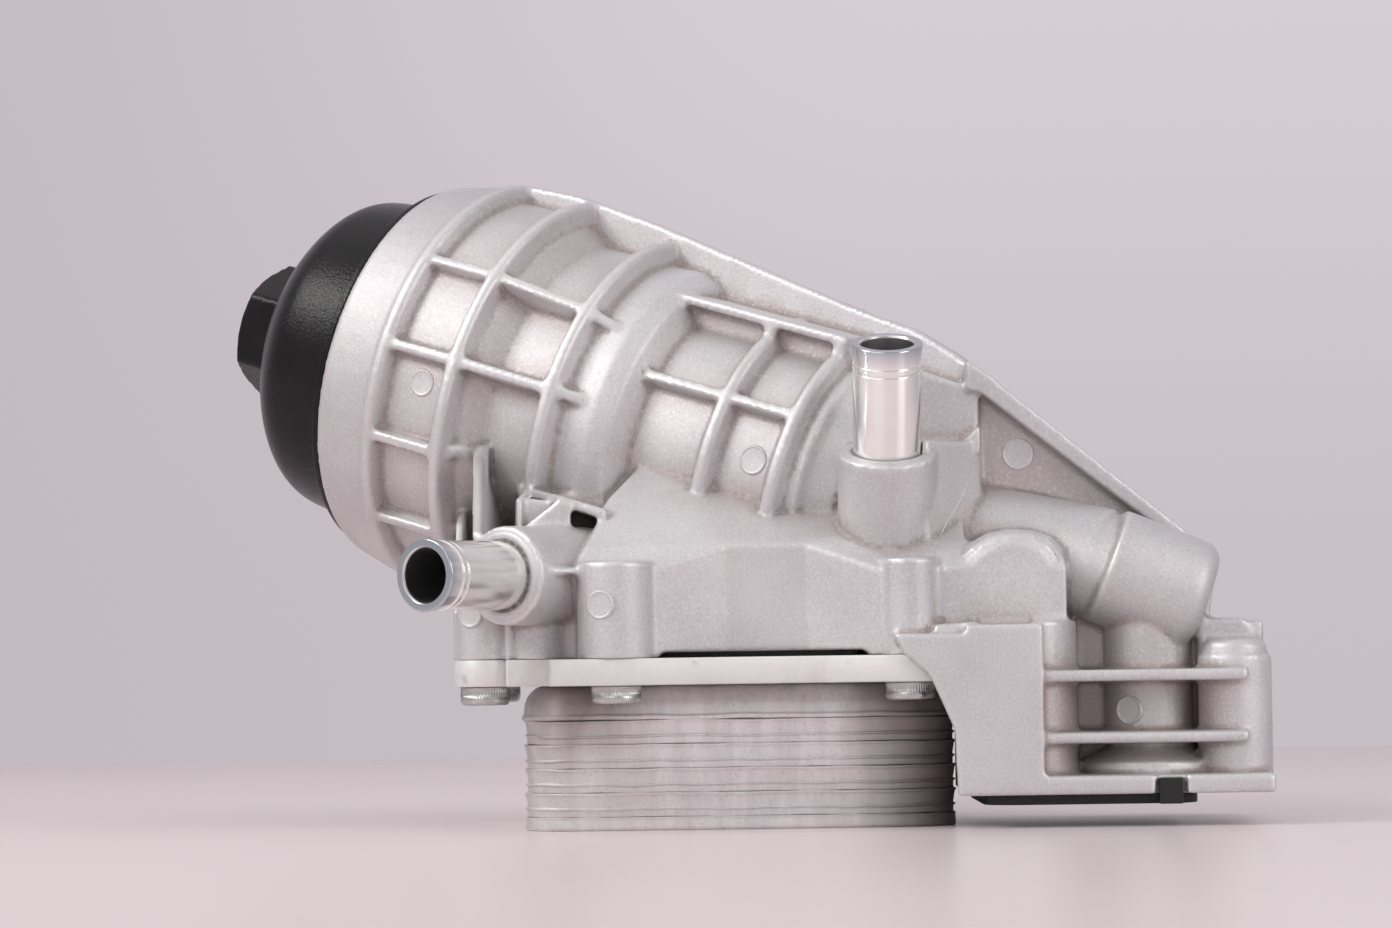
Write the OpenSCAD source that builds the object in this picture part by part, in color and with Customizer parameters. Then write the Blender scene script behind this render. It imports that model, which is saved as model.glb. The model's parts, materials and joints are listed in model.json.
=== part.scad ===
// Oil filter housing with a stacked-plate oil cooler.
// X runs along the cooler, Y goes away from the viewer, Z is up.
// The origin is the middle of the cooler's underside, which the part stands on.

/* [Filter chamber] */
// Height of the chamber's rim centre above the table
rim_z = 128; // [120:1:140]
// Rim centre along X
rim_x = -88; // [-96:1:-80]
// Rim centre along Y
rim_y = 60; // [54:1:66]
// Angle of the chamber axis away from the cooler's long side, seen from above
axis_turn = 28; // [24:1:32]
// Rise of the chamber axis toward the cap
axis_rise = 15.8; // [12:0.2:20]
// Outer radius of the collar at the rim
collar_r = 54.5; // [53:0.5:58]
// Length of the smooth collar
collar_len = 17; // [14:1:20]
// Outer radius of the wide part of the chamber
wide_r = 48.3; // [47.5:0.1:50]
// Outer radius of the narrow part of the chamber
narrow_r = 38.8; // [38:0.1:41]
// Wall of the narrow part
chamber_wall = 3.6; // [3:0.1:5]
// Bore radius of the wide part, where the cap seals
seal_bore_r = 44.6; // [44:0.1:45]
// Bore radius of the thread
thread_bore_r = 47.5; // [46.5:0.1:48.5]
// Depth of the thread bore below the rim
thread_depth = 15; // [12:1:18]
// Depth of the chamber's floor below the rim
chamber_depth = 141; // [136:1:146]
// Outside length of the chamber below the rim
chamber_len = 152; // [149:1:158]

/* [Ribs] */
// Width of a ring rib
ring_w = 3.6; // [2.5:0.1:5]
// Width of a lengthwise rib
rib_w = 3; // [2:0.1:4]
// Depth of the first ring below the rim
ring_1_at = 19.6; // [18:0.2:22]
// Depth of the second ring below the rim
ring_2_at = 42.2; // [40:0.2:45]
// Depth of the third ring below the rim
ring_3_at = 70.5; // [67:0.5:74]
// Depth of the fourth ring below the rim
ring_4_at = 116; // [112:1:119]
// Depth of the fifth ring below the rim
ring_5_at = 137.5; // [134:0.5:140]
// Crest radius of the first two rings
ring_r = 59; // [57:0.5:61]
// Crest radius of the third ring
ring_3_r = 54.2; // [52:0.2:56]
// Crest radius of the rings on the narrow part
ring_4_r = 43.2; // [42:0.2:46]
// Thickness of the flat web along the top of the chamber
web_t = 5; // [4:0.5:7]

/* [Cap] */
// Radius of the cap's dome at its foot
cap_r = 45.8; // [43:0.1:47]
// Height of the dome above the rim
cap_h = 46.6; // [44:0.2:50]
// Height of the top face of the hexagon above the rim
hex_top = 55; // [52:1:58]
// Hexagon width across flats
hex_af = 34; // [24:1:36]
// Radius of the cap's flange on the collar
cap_flange_r = 52.6; // [50:0.2:54]
// Wall of the cap
cap_wall = 3.2; // [2.5:0.1:4]
// Depth that the cap's skirt reaches below the rim
skirt_depth = 29; // [26:1:32]

/* [Filter element] */
// Outer radius of the paper
paper_r = 32; // [30:0.5:33]
// Length of the paper
paper_len = 128; // [120:1:132]
// Number of pleats
pleats = 36; // [24:1:48]
// Inner radius of the core tube
core_r = 15; // [14.5:0.1:17]
// Thickness of an end cap
end_cap_t = 3; // [2:0.5:4]
// Outer radius of the standpipe
standpipe_r = 12; // [10:0.5:13]

/* [Cooler] */
// Length of the cooler
cooler_l = 115.4; // [110:0.2:120]
// Depth of the cooler, front to back
cooler_w = 90; // [84:1:96]
// Corner radius of the cooler
cooler_corner = 13; // [8:0.5:18]
// Thickness of the bottom plate
cooler_base_t = 3.6; // [2.4:0.2:5]
// Height that one tray adds to the stack
tray_pitch = 6.4; // [6:0.1:7]
// Height of the narrow band at the foot of each tray
tray_foot = 2.4; // [1.8:0.1:3]
// Sheet thickness of the trays
tray_sheet = 0.9; // [0.6:0.1:1.2]
// Number of trays between the bottom plate and the top tray
tray_count = 4; // [4:1:4]
// Height of the top tray
top_tray_h = 9.2; // [8:0.2:11]
// Half the distance between the ports along X
port_x = 42; // [40:1:44]
// Half the distance between the ports along Y
port_y = 27; // [24:1:30]
// Bore radius of a port
port_r = 7; // [5:0.5:8]

/* [Mounting plate] */
// Thickness of the plate between cooler and housing
plate_t = 7.1; // [6:0.1:9]
// Distance of the front and rear screws from the middle
screw_y = 54; // [53:0.5:56]
// Place of the left screws along X
screw_x_left = -32.4; // [-36:0.2:-28]
// Place of the right screws along X
screw_x_right = 44.8; // [42:0.2:48]
// Place of the end screws along X
screw_x_end = -67.5; // [-69:0.5:-66]
// Distance of the end screws from the middle
screw_y_end = 38; // [34:1:40]
// Thread radius of the cooler screws
screw_r = 3; // [2.5:0.5:3.5]
// Head radius of the cooler screws
screw_head_r = 6.6; // [6:0.1:8]
// Head height of the cooler screws
screw_head_h = 4.6; // [4:0.2:6]

/* [Coolant stubs] */
// Outer radius of a stub
stub_r = 9; // [8:0.1:10]
// Bore radius of a stub
stub_bore_r = 7; // [6:0.1:7.6]
// Radius of the hose bead
bead_r = 9.75; // [9.3:0.05:10.5]
// Length of the bead
bead_len = 7; // [5:0.5:9]
// Radius of the boss that holds a stub
boss_r = 13.1; // [12:0.1:14]
// Depth that a stub is pressed into its boss
stub_grip = 11; // [8:1:14]
// Length of the side stub outside its boss
side_stub_len = 32; // [26:1:38]
// Length of the top stub outside its boss
top_stub_len = 30; // [26:1:36]
// Turn of the side stub from straight ahead
side_stub_turn = 38; // [34:1:42]
// Lean of the top stub toward the front
top_stub_lean = 19; // [16:1:22]

/* [Gallery and flange] */
// Half the depth of the gallery body above the cooler
gallery_y = 50; // [48:0.5:51]
// Height of the gallery's front wall at its top edge
gallery_edge_z = 75; // [72:1:78]
// Slope of the gallery's front face
gallery_slope = 34; // [28:1:40]
// Height of the engine flange's face above the table
flange_z = 8.5; // [8:0.5:10]
// Thickness of the engine flange
flange_t = 5; // [4:0.5:7]
// Left edge of the engine flange
flange_x0 = 60; // [60:0.5:62]
// Right edge of the engine flange
flange_x1 = 139; // [136:1:142]
// Front edge of the engine flange
flange_y0 = -66; // [-67:0.5:-65.5]
// Rear edge of the engine flange
flange_y1 = 18; // [14:1:22]
// Outer radius of the clean oil duct
duct_r = 11.4; // [10:0.2:13]
// Bore radius of the oil ports in the engine flange
oil_port_r = 7.5; // [6:0.5:8]
// Thickness of the engine gasket
gasket_t = 2.7; // [2:0.1:3.5]
// Tapping radius of the flange's screw holes
tap_r = 3.4; // [2.5:0.1:4]
// Depth of the flange's screw holes
tap_depth = 22; // [16:1:26]

/* [Hidden] */
$fn = 72;

cast_grey = [0.74, 0.74, 0.75];
cooler_grey = [0.66, 0.64, 0.64];
sheet_grey = [0.80, 0.79, 0.77];
polished = [0.85, 0.87, 0.90];
black_plastic = [0.10, 0.10, 0.11];
rubber_black = [0.16, 0.16, 0.17];
paper_cream = [0.92, 0.86, 0.70];
spring_steel = [0.55, 0.57, 0.60];

run_gap = 0.3;
fit_gap = 0.1;
bite = 1;

rim = [rim_x, rim_y, rim_z];
plate_z = cooler_base_t + tray_count * tray_pitch + top_tray_h;
seat_z = plate_z + plate_t;
ring_edge = 0.8;

// A pose on the chamber's axis: Z runs out through the cap, X points down, Y to the front
module on_axis(s = 0) {
    translate(rim) rotate([0, 90 - axis_rise, 180 - axis_turn]) translate([0, 0, s]) children();
}

// A plate that stands on the chamber at an angle from the top, drawn as radius and depth
module radial_plate(angle, width, outline) {
    rotate([0, 0, 180 - angle]) rotate([90, 0, 0])
        linear_extrude(height = width, center = true) polygon(outline);
}

// A round bar from one point to another
module bar(from, to, r) {
    d = to - from;
    len_xy = norm([d[0], d[1]]);
    translate(from) rotate([0, atan2(len_xy, d[2]), atan2(d[1], d[0])])
        cylinder(r = r, h = norm(d));
}

// A rectangle with round corners, centred
module round_rect(l, w, r) {
    square([l - 2 * r, w], center = true);
    square([l, w - 2 * r], center = true);
    for (sx = [-1, 1], sy = [-1, 1])
        translate([sx * (l / 2 - r), sy * (w / 2 - r)]) circle(r = r);
}

// A prism along X from an outline in Y and Z
module along_x(x0, x1, outline) {
    translate([x0, 0, 0]) rotate([90, 0, 90]) linear_extrude(height = x1 - x0) polygon(outline);
}

// A prism along Y from an outline in X and Z
module along_y(y0, y1, outline) {
    translate([0, y1, 0]) rotate([90, 0, 0]) linear_extrude(height = y1 - y0) polygon(outline);
}

// One ring rib with broken edges
module ring_rib(at, r, root) {
    rotate_extrude() polygon([
        [root, -at - ring_w], [r - ring_edge, -at - ring_w / 2], [r, -at - ring_w / 2 + ring_edge],
        [r, -at + ring_w / 2 - ring_edge], [r - ring_edge, -at + ring_w / 2], [root, -at + ring_w]]);
}

zone_1_r = ring_r - 4.4;
cone_end = ring_2_at + 9.4;
shoulder_at = 83;
shoulder_end = 92;
end_step_r = narrow_r - 6;

// The turned outside of the chamber
module chamber_outside() {
    rotate_extrude() polygon([
        [0, 0], [collar_r - 1.2, 0], [collar_r, -1.4], [ring_r - 1, -collar_len],
        [zone_1_r, -ring_1_at - ring_w / 2], [zone_1_r, -ring_2_at], [wide_r, -cone_end],
        [wide_r, -shoulder_at], [wide_r - 2.2, -shoulder_at - 5], [narrow_r, -shoulder_end],
        [narrow_r, -ring_5_at - 6], [narrow_r - 2.4, -ring_5_at - 7.5],
        [narrow_r - 3.4, -chamber_len + 5], [end_step_r, -chamber_len], [0, -chamber_len]]);
    ring_rib(ring_1_at, ring_r, zone_1_r - bite);
    ring_rib(ring_2_at, ring_r, wide_r);
    ring_rib(ring_3_at, ring_3_r, wide_r - bite);
    ring_rib(ring_4_at, ring_4_r, narrow_r - bite);
    ring_rib(ring_5_at, ring_4_r, narrow_r - bite);
}

long_rib_angles = [-131, -105, -79, -52, 52, 79, 105, 131];
tail = 12;

// The lengthwise ribs between the rings
module chamber_ribs() {
    for (a = long_rib_angles) radial_plate(a, rib_w, [
        [wide_r - bite, -ring_1_at], [ring_r - 0.6, -ring_1_at], [ring_r - 0.6, -ring_2_at],
        [wide_r - bite, -cone_end]]);
    for (a = [-79, -52, 52, 79]) radial_plate(a, rib_w, [
        [wide_r - bite, -ring_2_at], [ring_r - 0.6, -ring_2_at], [ring_3_r - 0.4, -ring_3_at],
        [wide_r - bite, -ring_3_at - tail]]);
    for (a = [-62, 62]) radial_plate(a, rib_w, [
        [narrow_r - bite, -shoulder_at - 2], [ring_4_r - 0.4, -shoulder_at - 2],
        [ring_4_r - 0.4, -ring_5_at], [narrow_r - bite, -ring_5_at]]);
}

web_end = 176;
web_slope = 0.155;
ledge_h = 39.2;
ledge_y = 18;

// The flat web that runs along the top, and the ledge at its foot
module chamber_web() {
    rotate([0, 0, 180]) rotate([90, 0, 0]) linear_extrude(height = web_t, center = true)
        polygon([[narrow_r - 8, -ring_1_at], [ring_r, -ring_1_at], [ring_r, -ring_2_at],
                 [ring_r - web_slope * (web_end - ring_2_at), -web_end], [narrow_r - 8, -web_end]]);
    translate([-ledge_h, 0, -chamber_len]) cube([ledge_h - 28, ledge_y, chamber_len - shoulder_at]);
}

front_edge_y = -gallery_y;
slope_run = 34;
slope_top_z = gallery_edge_z + slope_run * tan(gallery_slope);
gallery_x0 = -42.4;
gallery_x1 = 60;
gallery_end_top_z = 68;
arch_x = [-26, -2.5, 17.6, 37.4];
left_boss_r = 9.8;
right_boss_r = 7.2;
left_boss_top = 71;
end_boss_r = 7.6;
end_boss_top = 59;
wall_bulge = 7;
foot_bulge = wall_bulge + 4;
rear_bulge = 4;

// The YZ outline that gives the gallery its sloping front and back
gallery_side = [
    [front_edge_y - foot_bulge, seat_z],
    [front_edge_y - foot_bulge, gallery_edge_z - foot_bulge * tan(gallery_slope + 12)],
    [front_edge_y, gallery_edge_z], [front_edge_y + slope_run, slope_top_z],
    [gallery_y - slope_run, slope_top_z], [gallery_y, gallery_edge_z - 12],
    [gallery_y + foot_bulge, gallery_edge_z - 20], [gallery_y + foot_bulge, seat_z]];

// The XZ outline that rounds off the gallery's left end
gallery_front = [
    [gallery_x0 - 1, seat_z], [gallery_x0 - 1, gallery_end_top_z],
    [gallery_x0 + 4, gallery_end_top_z + 11], [gallery_x0 + 8, gallery_end_top_z + 20],
    [gallery_x0 + 18, slope_top_z + 1], [gallery_x1 + 1, slope_top_z + 1],
    [gallery_x1 + 1, seat_z]];

// The gallery's outline from above, with its bulged front wall
gallery_plan = [
    [gallery_x0, gallery_y - 2], [gallery_x0, front_edge_y - rear_bulge],
    [arch_x[0], front_edge_y - wall_bulge], [arch_x[1], front_edge_y], [arch_x[2], front_edge_y],
    [arch_x[3], front_edge_y - wall_bulge], [52, front_edge_y - wall_bulge],
    [gallery_x1, front_edge_y], [gallery_x1, gallery_y - 2], [52, gallery_y + rear_bulge],
    [36, gallery_y + rear_bulge], [24, gallery_y], [-12, gallery_y],
    [-24, gallery_y + rear_bulge], [-36, gallery_y + rear_bulge]];

// The gallery body that carries oil and coolant above the cooler
module gallery() {
    intersection() {
        translate([0, 0, seat_z]) linear_extrude(height = slope_top_z - seat_z)
            polygon(gallery_plan);
        along_x(gallery_x0 - 2, gallery_x1 + 2, gallery_side);
        along_y(front_edge_y - foot_bulge - 1, gallery_y + foot_bulge + 1, gallery_front);
    }
    for (sy = [-1, 1]) {
        translate([screw_x_left, sy * screw_y, seat_z])
            cylinder(r = left_boss_r, h = left_boss_top - seat_z);
        translate([screw_x_right, sy * screw_y, seat_z])
            cylinder(r = right_boss_r, h = left_boss_top - seat_z);
    }
    for (sy = [-1, 1]) translate([screw_x_end, sy * screw_y_end, seat_z])
        cylinder(r = end_boss_r, h = end_boss_top - seat_z);
    translate([screw_x_end - 4, -screw_y_end - 3, seat_z])
        cube([gallery_x0 - screw_x_end + 8, 2 * screw_y_end + 6, 6.5]);
}

gusset_t = 3;
gusset_x = -70.2;
ledge_top_z = 90;

// The gussets and the thin ledge between the gallery and the wide end of the chamber
module gussets() {
    along_x(gusset_x, gusset_x + gusset_t, [
        [-screw_y_end, seat_z], [-screw_y_end, end_boss_top - 2], [-6, 104], [24, 104],
        [24, seat_z]]);
    along_x(gusset_x + 10.7, gusset_x + 10.7 + gusset_t, [
        [-screw_y_end - 4, seat_z], [-screw_y_end - 4, end_boss_top], [-20, 89], [20, 89],
        [20, seat_z]]);
    translate([0, 0, ledge_top_z - gusset_t]) linear_extrude(height = gusset_t)
        polygon([[-36, front_edge_y + slope_run], [-59, -16], [-48, 12], [-20, 12]]);
}

side_dir = [sin(side_stub_turn), cos(side_stub_turn), 0];
side_face = [-61.7, -56, 67.6];
side_boss_len = 34;
top_dir = [0, sin(top_stub_lean), -cos(top_stub_lean)];
top_face = [39.9, -47, 99];
top_boss_len = 34;

// The two bosses that hold the coolant stubs, and the block beside the upper one
module stub_bosses() {
    bar(side_face, side_face + side_boss_len * side_dir, boss_r);
    bar(top_face, top_face + top_boss_len * top_dir, boss_r);
    translate([side_face[0] + 8.2, side_face[1] + 16, seat_z])
        cylinder(r = 8.4, h = side_face[2] - seat_z);
    translate([0, 0, 76]) linear_extrude(height = 26)
        polygon([[40, -47], [50, -50], [65.3, -35], [65.3, -10], [40, -10]]);
}

rim_x0 = 62;
rim_w = 4;
rear_web_y = -22;
rim_front = 11;
web_top_left = [rim_x0, 122];
web_top_mid = [69, 119];
web_corner = [126, 72.5];
web_corner_low = [128, 69];
web_foot = [125.5, 52];

// The raised rim and the flat web that run down from the chamber to the elbow
module end_web() {
    along_y(rear_web_y - 5, rear_web_y, [web_top_left, web_top_mid, web_corner, web_corner_low,
        web_foot, [98, 50], [60, 70]]);
    along_y(rear_web_y - rim_front, rear_web_y, [
        web_top_left, web_top_mid, web_corner, web_corner_low, web_foot, web_foot - [rim_w, 0],
        web_corner_low - [rim_w, -1], web_corner - [rim_w, 1.6], web_top_mid - [rim_w, 3.2],
        web_top_left - [0, rim_w]]);
    along_y(-31, -4, [[36, 84], [36, 121], [50, 121.5], [65.3, 116], [65.3, 84]]);
}

duct_from = [44, -16, 80];
duct_to = [98, -37, 68];
duct_top = [108.4, -42, 64];
knuckle_r = 15;
port_2 = [97, -4];
cross_r = 6;
cross_from = [port_2[0], port_2[1], 44];
cross_to = [port_x, port_y, 60];
hump_x0 = 54;
hump_x1 = 86;
hump_y0 = -57;
hump_z1 = 75;
hump_z0 = 48;
hump_round = 7;

// The oil duct to the elbow, and the blister in front of it
module outlet_duct() {
    bar(duct_from, duct_to, 15.5);
    translate(duct_top) rotate([0, 112, 0]) translate([0, 0, -12]) rotate_extrude()
        polygon([[0, 0], [knuckle_r - 2, 0], [knuckle_r, 2], [knuckle_r, 22],
                 [knuckle_r - 2, 26], [knuckle_r - 6, 28], [0, 28]]);
    translate([duct_top[0], duct_top[1], flange_z]) cylinder(r = duct_r, h = 54 - flange_z + 4);
    bar(cross_from, cross_to, cross_r + 3);
    intersection() {
        translate([0, -14, 0]) rotate([90, 0, 0]) linear_extrude(height = -hump_y0 - 14) union() {
            translate([(hump_x0 + hump_x1) / 2, hump_z0 + 6])
                square([hump_x1 - hump_x0, 12], center = true);
            translate([(hump_x0 + hump_x1) / 2, (hump_z0 + hump_z1) / 2])
                round_rect(hump_x1 - hump_x0, hump_z1 - hump_z0, hump_round);
        }
        along_x(hump_x0 - 2, hump_x1 + 2, [[hump_y0 - 2, hump_z0 - 2], [hump_y0 - 2, hump_z1 - 9],
            [hump_y0 + 8, hump_z1 + 1], [-12, hump_z1 + 1], [-12, hump_z0 - 2]]);
    }
}

leg_web_t = 2.7;
leg_top = 53;
column_x = 130.2;
column_r = 9.7;
bolt_x0 = 70;
bolt_y0 = -52;
bolt_y1 = 6;
inner_x0 = 79;
inner_x1 = column_x - column_r + 1;
flange_bar_t = 3;
flange_bar_z = [23.2, 39.3];
notch_x0 = 107.6;
notch_x1 = 116;
notch_h = 4.4;

// The block that stands on the engine flange
module engine_block() {
    along_y(flange_y0, flange_y0 + leg_web_t, [[40, 51], [43, 45.6], [49.2, 40.4], [55.7, 25.6],
        [56.2, flange_z], [inner_x0, flange_z], [inner_x0, leg_top], [59, leg_top], [59, 50.6]]);
    along_y(flange_y0, hump_y0 + 2, [[40, 51], [43, seat_z], [flange_x0 + 2, seat_z],
        [flange_x0 + 2, 50.6]]);
    translate([flange_x0, flange_y0 + 3, flange_z])
        cube([inner_x0 - flange_x0, flange_y1 - flange_y0 - 3, leg_top - flange_z]);
    translate([flange_x0, flange_y0, flange_z])
        cube([flange_x1 - flange_x0, flange_y1 - flange_y0, flange_t]);
    for (z = flange_bar_z) translate([inner_x0 - 1, flange_y0 + 1.6, z - flange_bar_t / 2])
        cube([column_x - inner_x0 + 3, -26 - flange_y0, flange_bar_t]);
    translate([column_x, bolt_y0 + 1, flange_z]) cylinder(r = column_r, h = leg_top - 9 - flange_z);
    along_y(bolt_y0 + 1, flange_y1 - 4, [[inner_x1, flange_z], [flange_x1 - 0.6, flange_z],
        [flange_x1 - 0.6, 44], [flange_x1 - 6, leg_top + 1], [inner_x1, leg_top + 1]]);
    translate([inner_x0 - 2, -24, flange_z]) cube([inner_x1 - inner_x0 + 4, 36, 42]);
    translate([duct_top[0], duct_top[1], flange_z]) rotate_extrude()
        polygon([[0, 0], [18.4, 0], [18.4, flange_t + 3], [duct_r, flange_t + 6.5], [0, flange_t + 6.5]]);
}

chamber_floor_r = narrow_r - chamber_wall;
bore_step = thread_bore_r - seal_bore_r;

// The bores of the chamber, from the rim down
module chamber_bores() {
    rotate_extrude() polygon([
        [0, 2], [thread_bore_r + 1.4, 2], [thread_bore_r + 1.4, -0.8], [thread_bore_r, -2.2],
        [thread_bore_r, -thread_depth], [seal_bore_r, -thread_depth - bore_step],
        [seal_bore_r, -shoulder_at + 1], [chamber_floor_r, -shoulder_end],
        [chamber_floor_r, -chamber_depth], [0, -chamber_depth]]);
    translate([0, 0, -chamber_len + 2]) cylinder(r = clean_bore_r, h = chamber_len - chamber_depth);
}

clean_bore_r = 6.5;
passage_r = 5.6;
passage_start = chamber_len - 4;
stub_clear_len = 14;
coolant_r = 6.5;
valve_bore_r = 9;
valve_xy = [-port_x, port_y];
gap_h = 1.5;
seal_r0 = valve_bore_r + 1.6;
seal_r1 = seal_r0 + 2.8;
seal_h = 2;

// The drilled and cored ways for oil and coolant
module passages() {
    end_point = rim + [cos(axis_turn) * cos(axis_rise), -sin(axis_turn) * cos(axis_rise),
                       -sin(axis_rise)] * passage_start;
    bar(end_point, duct_top + [0, 0, -2], passage_r);
    translate([duct_top[0], duct_top[1], flange_z - 2]) cylinder(r = oil_port_r, h = 58 - flange_z);
    translate([port_2[0], port_2[1], flange_z - 2])
        cylinder(r = oil_port_r, h = cross_from[2] - flange_z + 2);
    bar(cross_from, cross_to, cross_r);
    translate([port_x, port_y, seat_z - 1]) cylinder(r = port_r - 0.5, h = cross_to[2] - seat_z + 2);
    translate([valve_xy[0], valve_xy[1], seat_z - 1]) cylinder(r = valve_bore_r, h = 40);
    translate([-port_x, -port_y, seat_z - 1]) cylinder(r = port_r - 0.5, h = side_face[2] - seat_z + 2);
    bar(side_face + 8 * side_dir, [-port_x, -port_y, side_face[2] - 1], coolant_r);
    translate([port_x, -port_y, seat_z - 1]) cylinder(r = port_r - 0.5, h = 16);
    bar(top_face + 8 * top_dir, [port_x, -port_y - 2, seat_z + 12], coolant_r);
    bar(side_face - side_dir, side_face + (stub_grip + fit_gap) * side_dir, stub_r + fit_gap);
    bar(top_face - top_dir, top_face + (stub_grip + fit_gap) * top_dir, stub_r + fit_gap);
    bar(top_face - stub_clear_len * top_dir, top_face, stub_r + run_gap);
}

// The grooves, tapped holes and cut-outs in the two flat faces
module face_cuts() {
    for (sx = [-1, 1], sy = [-1, 1]) translate([sx * port_x, sy * port_y, seat_z - 1])
        rotate_extrude() translate([seal_r0 - fit_gap, 0])
            square([seal_r1 - seal_r0 + 2 * fit_gap, seal_h + 1]);
    for (sx = [screw_x_left, screw_x_right], sy = [-1, 1]) translate([sx, sy * screw_y, seat_z - 1])
        cylinder(r = screw_r + fit_gap, h = screw_bite + 2);
    for (sy = [-1, 1]) translate([screw_x_end, sy * screw_y_end, seat_z - 1])
        cylinder(r = screw_r + fit_gap, h = end_boss_top - seat_z - 1);
    translate([-21, front_edge_y - 12, seat_z - 1]) cube([55, 26, gap_h + 1]);
    for (x = [bolt_x0, column_x], y = [bolt_y0, bolt_y1]) translate([x, y, flange_z - 1])
        cylinder(r = tap_r, h = tap_depth + 1);
    translate([notch_x0, flange_y0 - 1, flange_z - 1]) cube([notch_x1 - notch_x0, 5, notch_h + 1]);
}

screw_bite = 11;

// The die-cast housing, one piece with chamber, gallery, bosses and engine flange
module housing() color(cast_grey) difference() {
    union() {
        on_axis() chamber_outside();
        on_axis() chamber_ribs();
        on_axis() chamber_web();
        gallery();
        gussets();
        stub_bosses();
        end_web();
        outlet_duct();
        engine_block();
    }
    on_axis() chamber_bores();
    passages();
    face_cuts();
}

skirt_r = seal_bore_r - run_gap;
seal_wire = 1.7;
seal_at = skirt_depth - 5;
groove_r = seal_bore_r - 2 * seal_wire - 0.1;
hex_round = hex_af / 2 / cos(30);
dome_side = cap_r - 0.5;
shoulder_r = 14;
shoulder_z = 18.6;
crown_slope = 56;
clip_r = paper_r + 1 + run_gap;

// Points of an arc about a centre, between two angles
function arc(c, r, a0, a1, n) =
    [for (i = [0 : n]) c + r * [cos(a0 + (a1 - a0) * i / n), sin(a0 + (a1 - a0) * i / n)]];

// The black screw cap with its hexagon, flange, threaded skirt and clip ring
module filter_cap() color(black_plastic) on_axis() {
    centre = [dome_side - shoulder_r, shoulder_z];
    inner = shoulder_r - cap_wall;
    rotate_extrude() polygon(concat(
        [[0, cap_h], [12, cap_h - 0.8], [18, cap_h - 3.2]],
        arc(centre, shoulder_r, crown_slope, 0, 6),
        [[cap_r, 5], [cap_r + 1, 3], [cap_flange_r, 2.4], [cap_flange_r, run_gap],
         [thread_bore_r - run_gap, run_gap], [thread_bore_r - run_gap, -thread_depth + 1],
         [skirt_r, -thread_depth + 1 - bore_step], [skirt_r, -seal_at + seal_wire],
         [groove_r, -seal_at + seal_wire], [groove_r, -seal_at - seal_wire],
         [skirt_r, -seal_at - seal_wire], [skirt_r, -skirt_depth],
         [groove_r - cap_wall, -skirt_depth], [groove_r - cap_wall, -thread_depth],
         [centre[0] + inner, 4]],
        arc(centre, inner, 0, crown_slope, 6),
        [[16, cap_h - 3.4 - cap_wall], [0, cap_h - 1.2 - cap_wall]]));
    translate([0, 0, cap_h - 7]) cylinder(r = hex_round, h = hex_top - cap_h + 7, $fn = 6);
    translate([0, 0, element_top_s - 3]) rotate_extrude()
        translate([clip_r, 0]) square([2.2, 30 - element_top_s + 3]);
    rotate([0, 0, -50]) translate([cap_flange_r - 2, -2, run_gap]) cube([4.4, 4, 2.1]);
}

// The ring seal in the groove of the cap's skirt
module cap_seal_ring() color(rubber_black) on_axis(-seal_at) rotate_extrude()
    translate([seal_bore_r - seal_wire - 0.05, 0]) circle(r = seal_wire - 0.02);

element_top_s = -4;
element_foot_s = element_top_s - paper_len;
core_wall = 1.5;
pleat_root = core_r + 1.6;

// The pleated paper of the filter element
module filter_paper() color(paper_cream) on_axis(element_foot_s) linear_extrude(height = paper_len)
    difference() {
        polygon([for (i = [0 : 2 * pleats - 1]) let (a = 180 * i / pleats)
            (i % 2 == 0 ? paper_r : pleat_root) * [cos(a), sin(a)]]);
        circle(r = core_r + 0.1);
    }

core_hole_r = 2.2;
core_rows = 7;

// The perforated tube inside the paper
module filter_core_tube() color(black_plastic) on_axis(element_foot_s) difference() {
    cylinder(r = core_r, h = paper_len);
    translate([0, 0, -1]) cylinder(r = core_r - core_wall, h = paper_len + 2);
    for (i = [1 : core_rows], a = [0, 90]) translate([0, 0, i * paper_len / (core_rows + 1)])
        rotate([0, 90, a]) cylinder(r = core_hole_r, h = 2 * core_r + 2, center = true);
}

// A flat end disc of the element, with a hole that fits round the standpipe
module end_disc() {
    difference() {
        cylinder(r = paper_r + 1, h = end_cap_t);
        translate([0, 0, -1]) cylinder(r = standpipe_r + run_gap, h = end_cap_t + 2);
    }
}

module element_top_disc() color(black_plastic) on_axis(element_top_s) end_disc();

module element_bottom_disc() color(black_plastic) on_axis(element_foot_s - end_cap_t) end_disc();

pipe_bore_r = standpipe_r - 2;
pipe_top_s = 8;
seat_t = 3;
valve_hole_r = 6.5;
ledge_s = -22;
ledge_t = 2;
window_r = 4;
window_rows = 5;
pipe_foot_r = 20;

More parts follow.
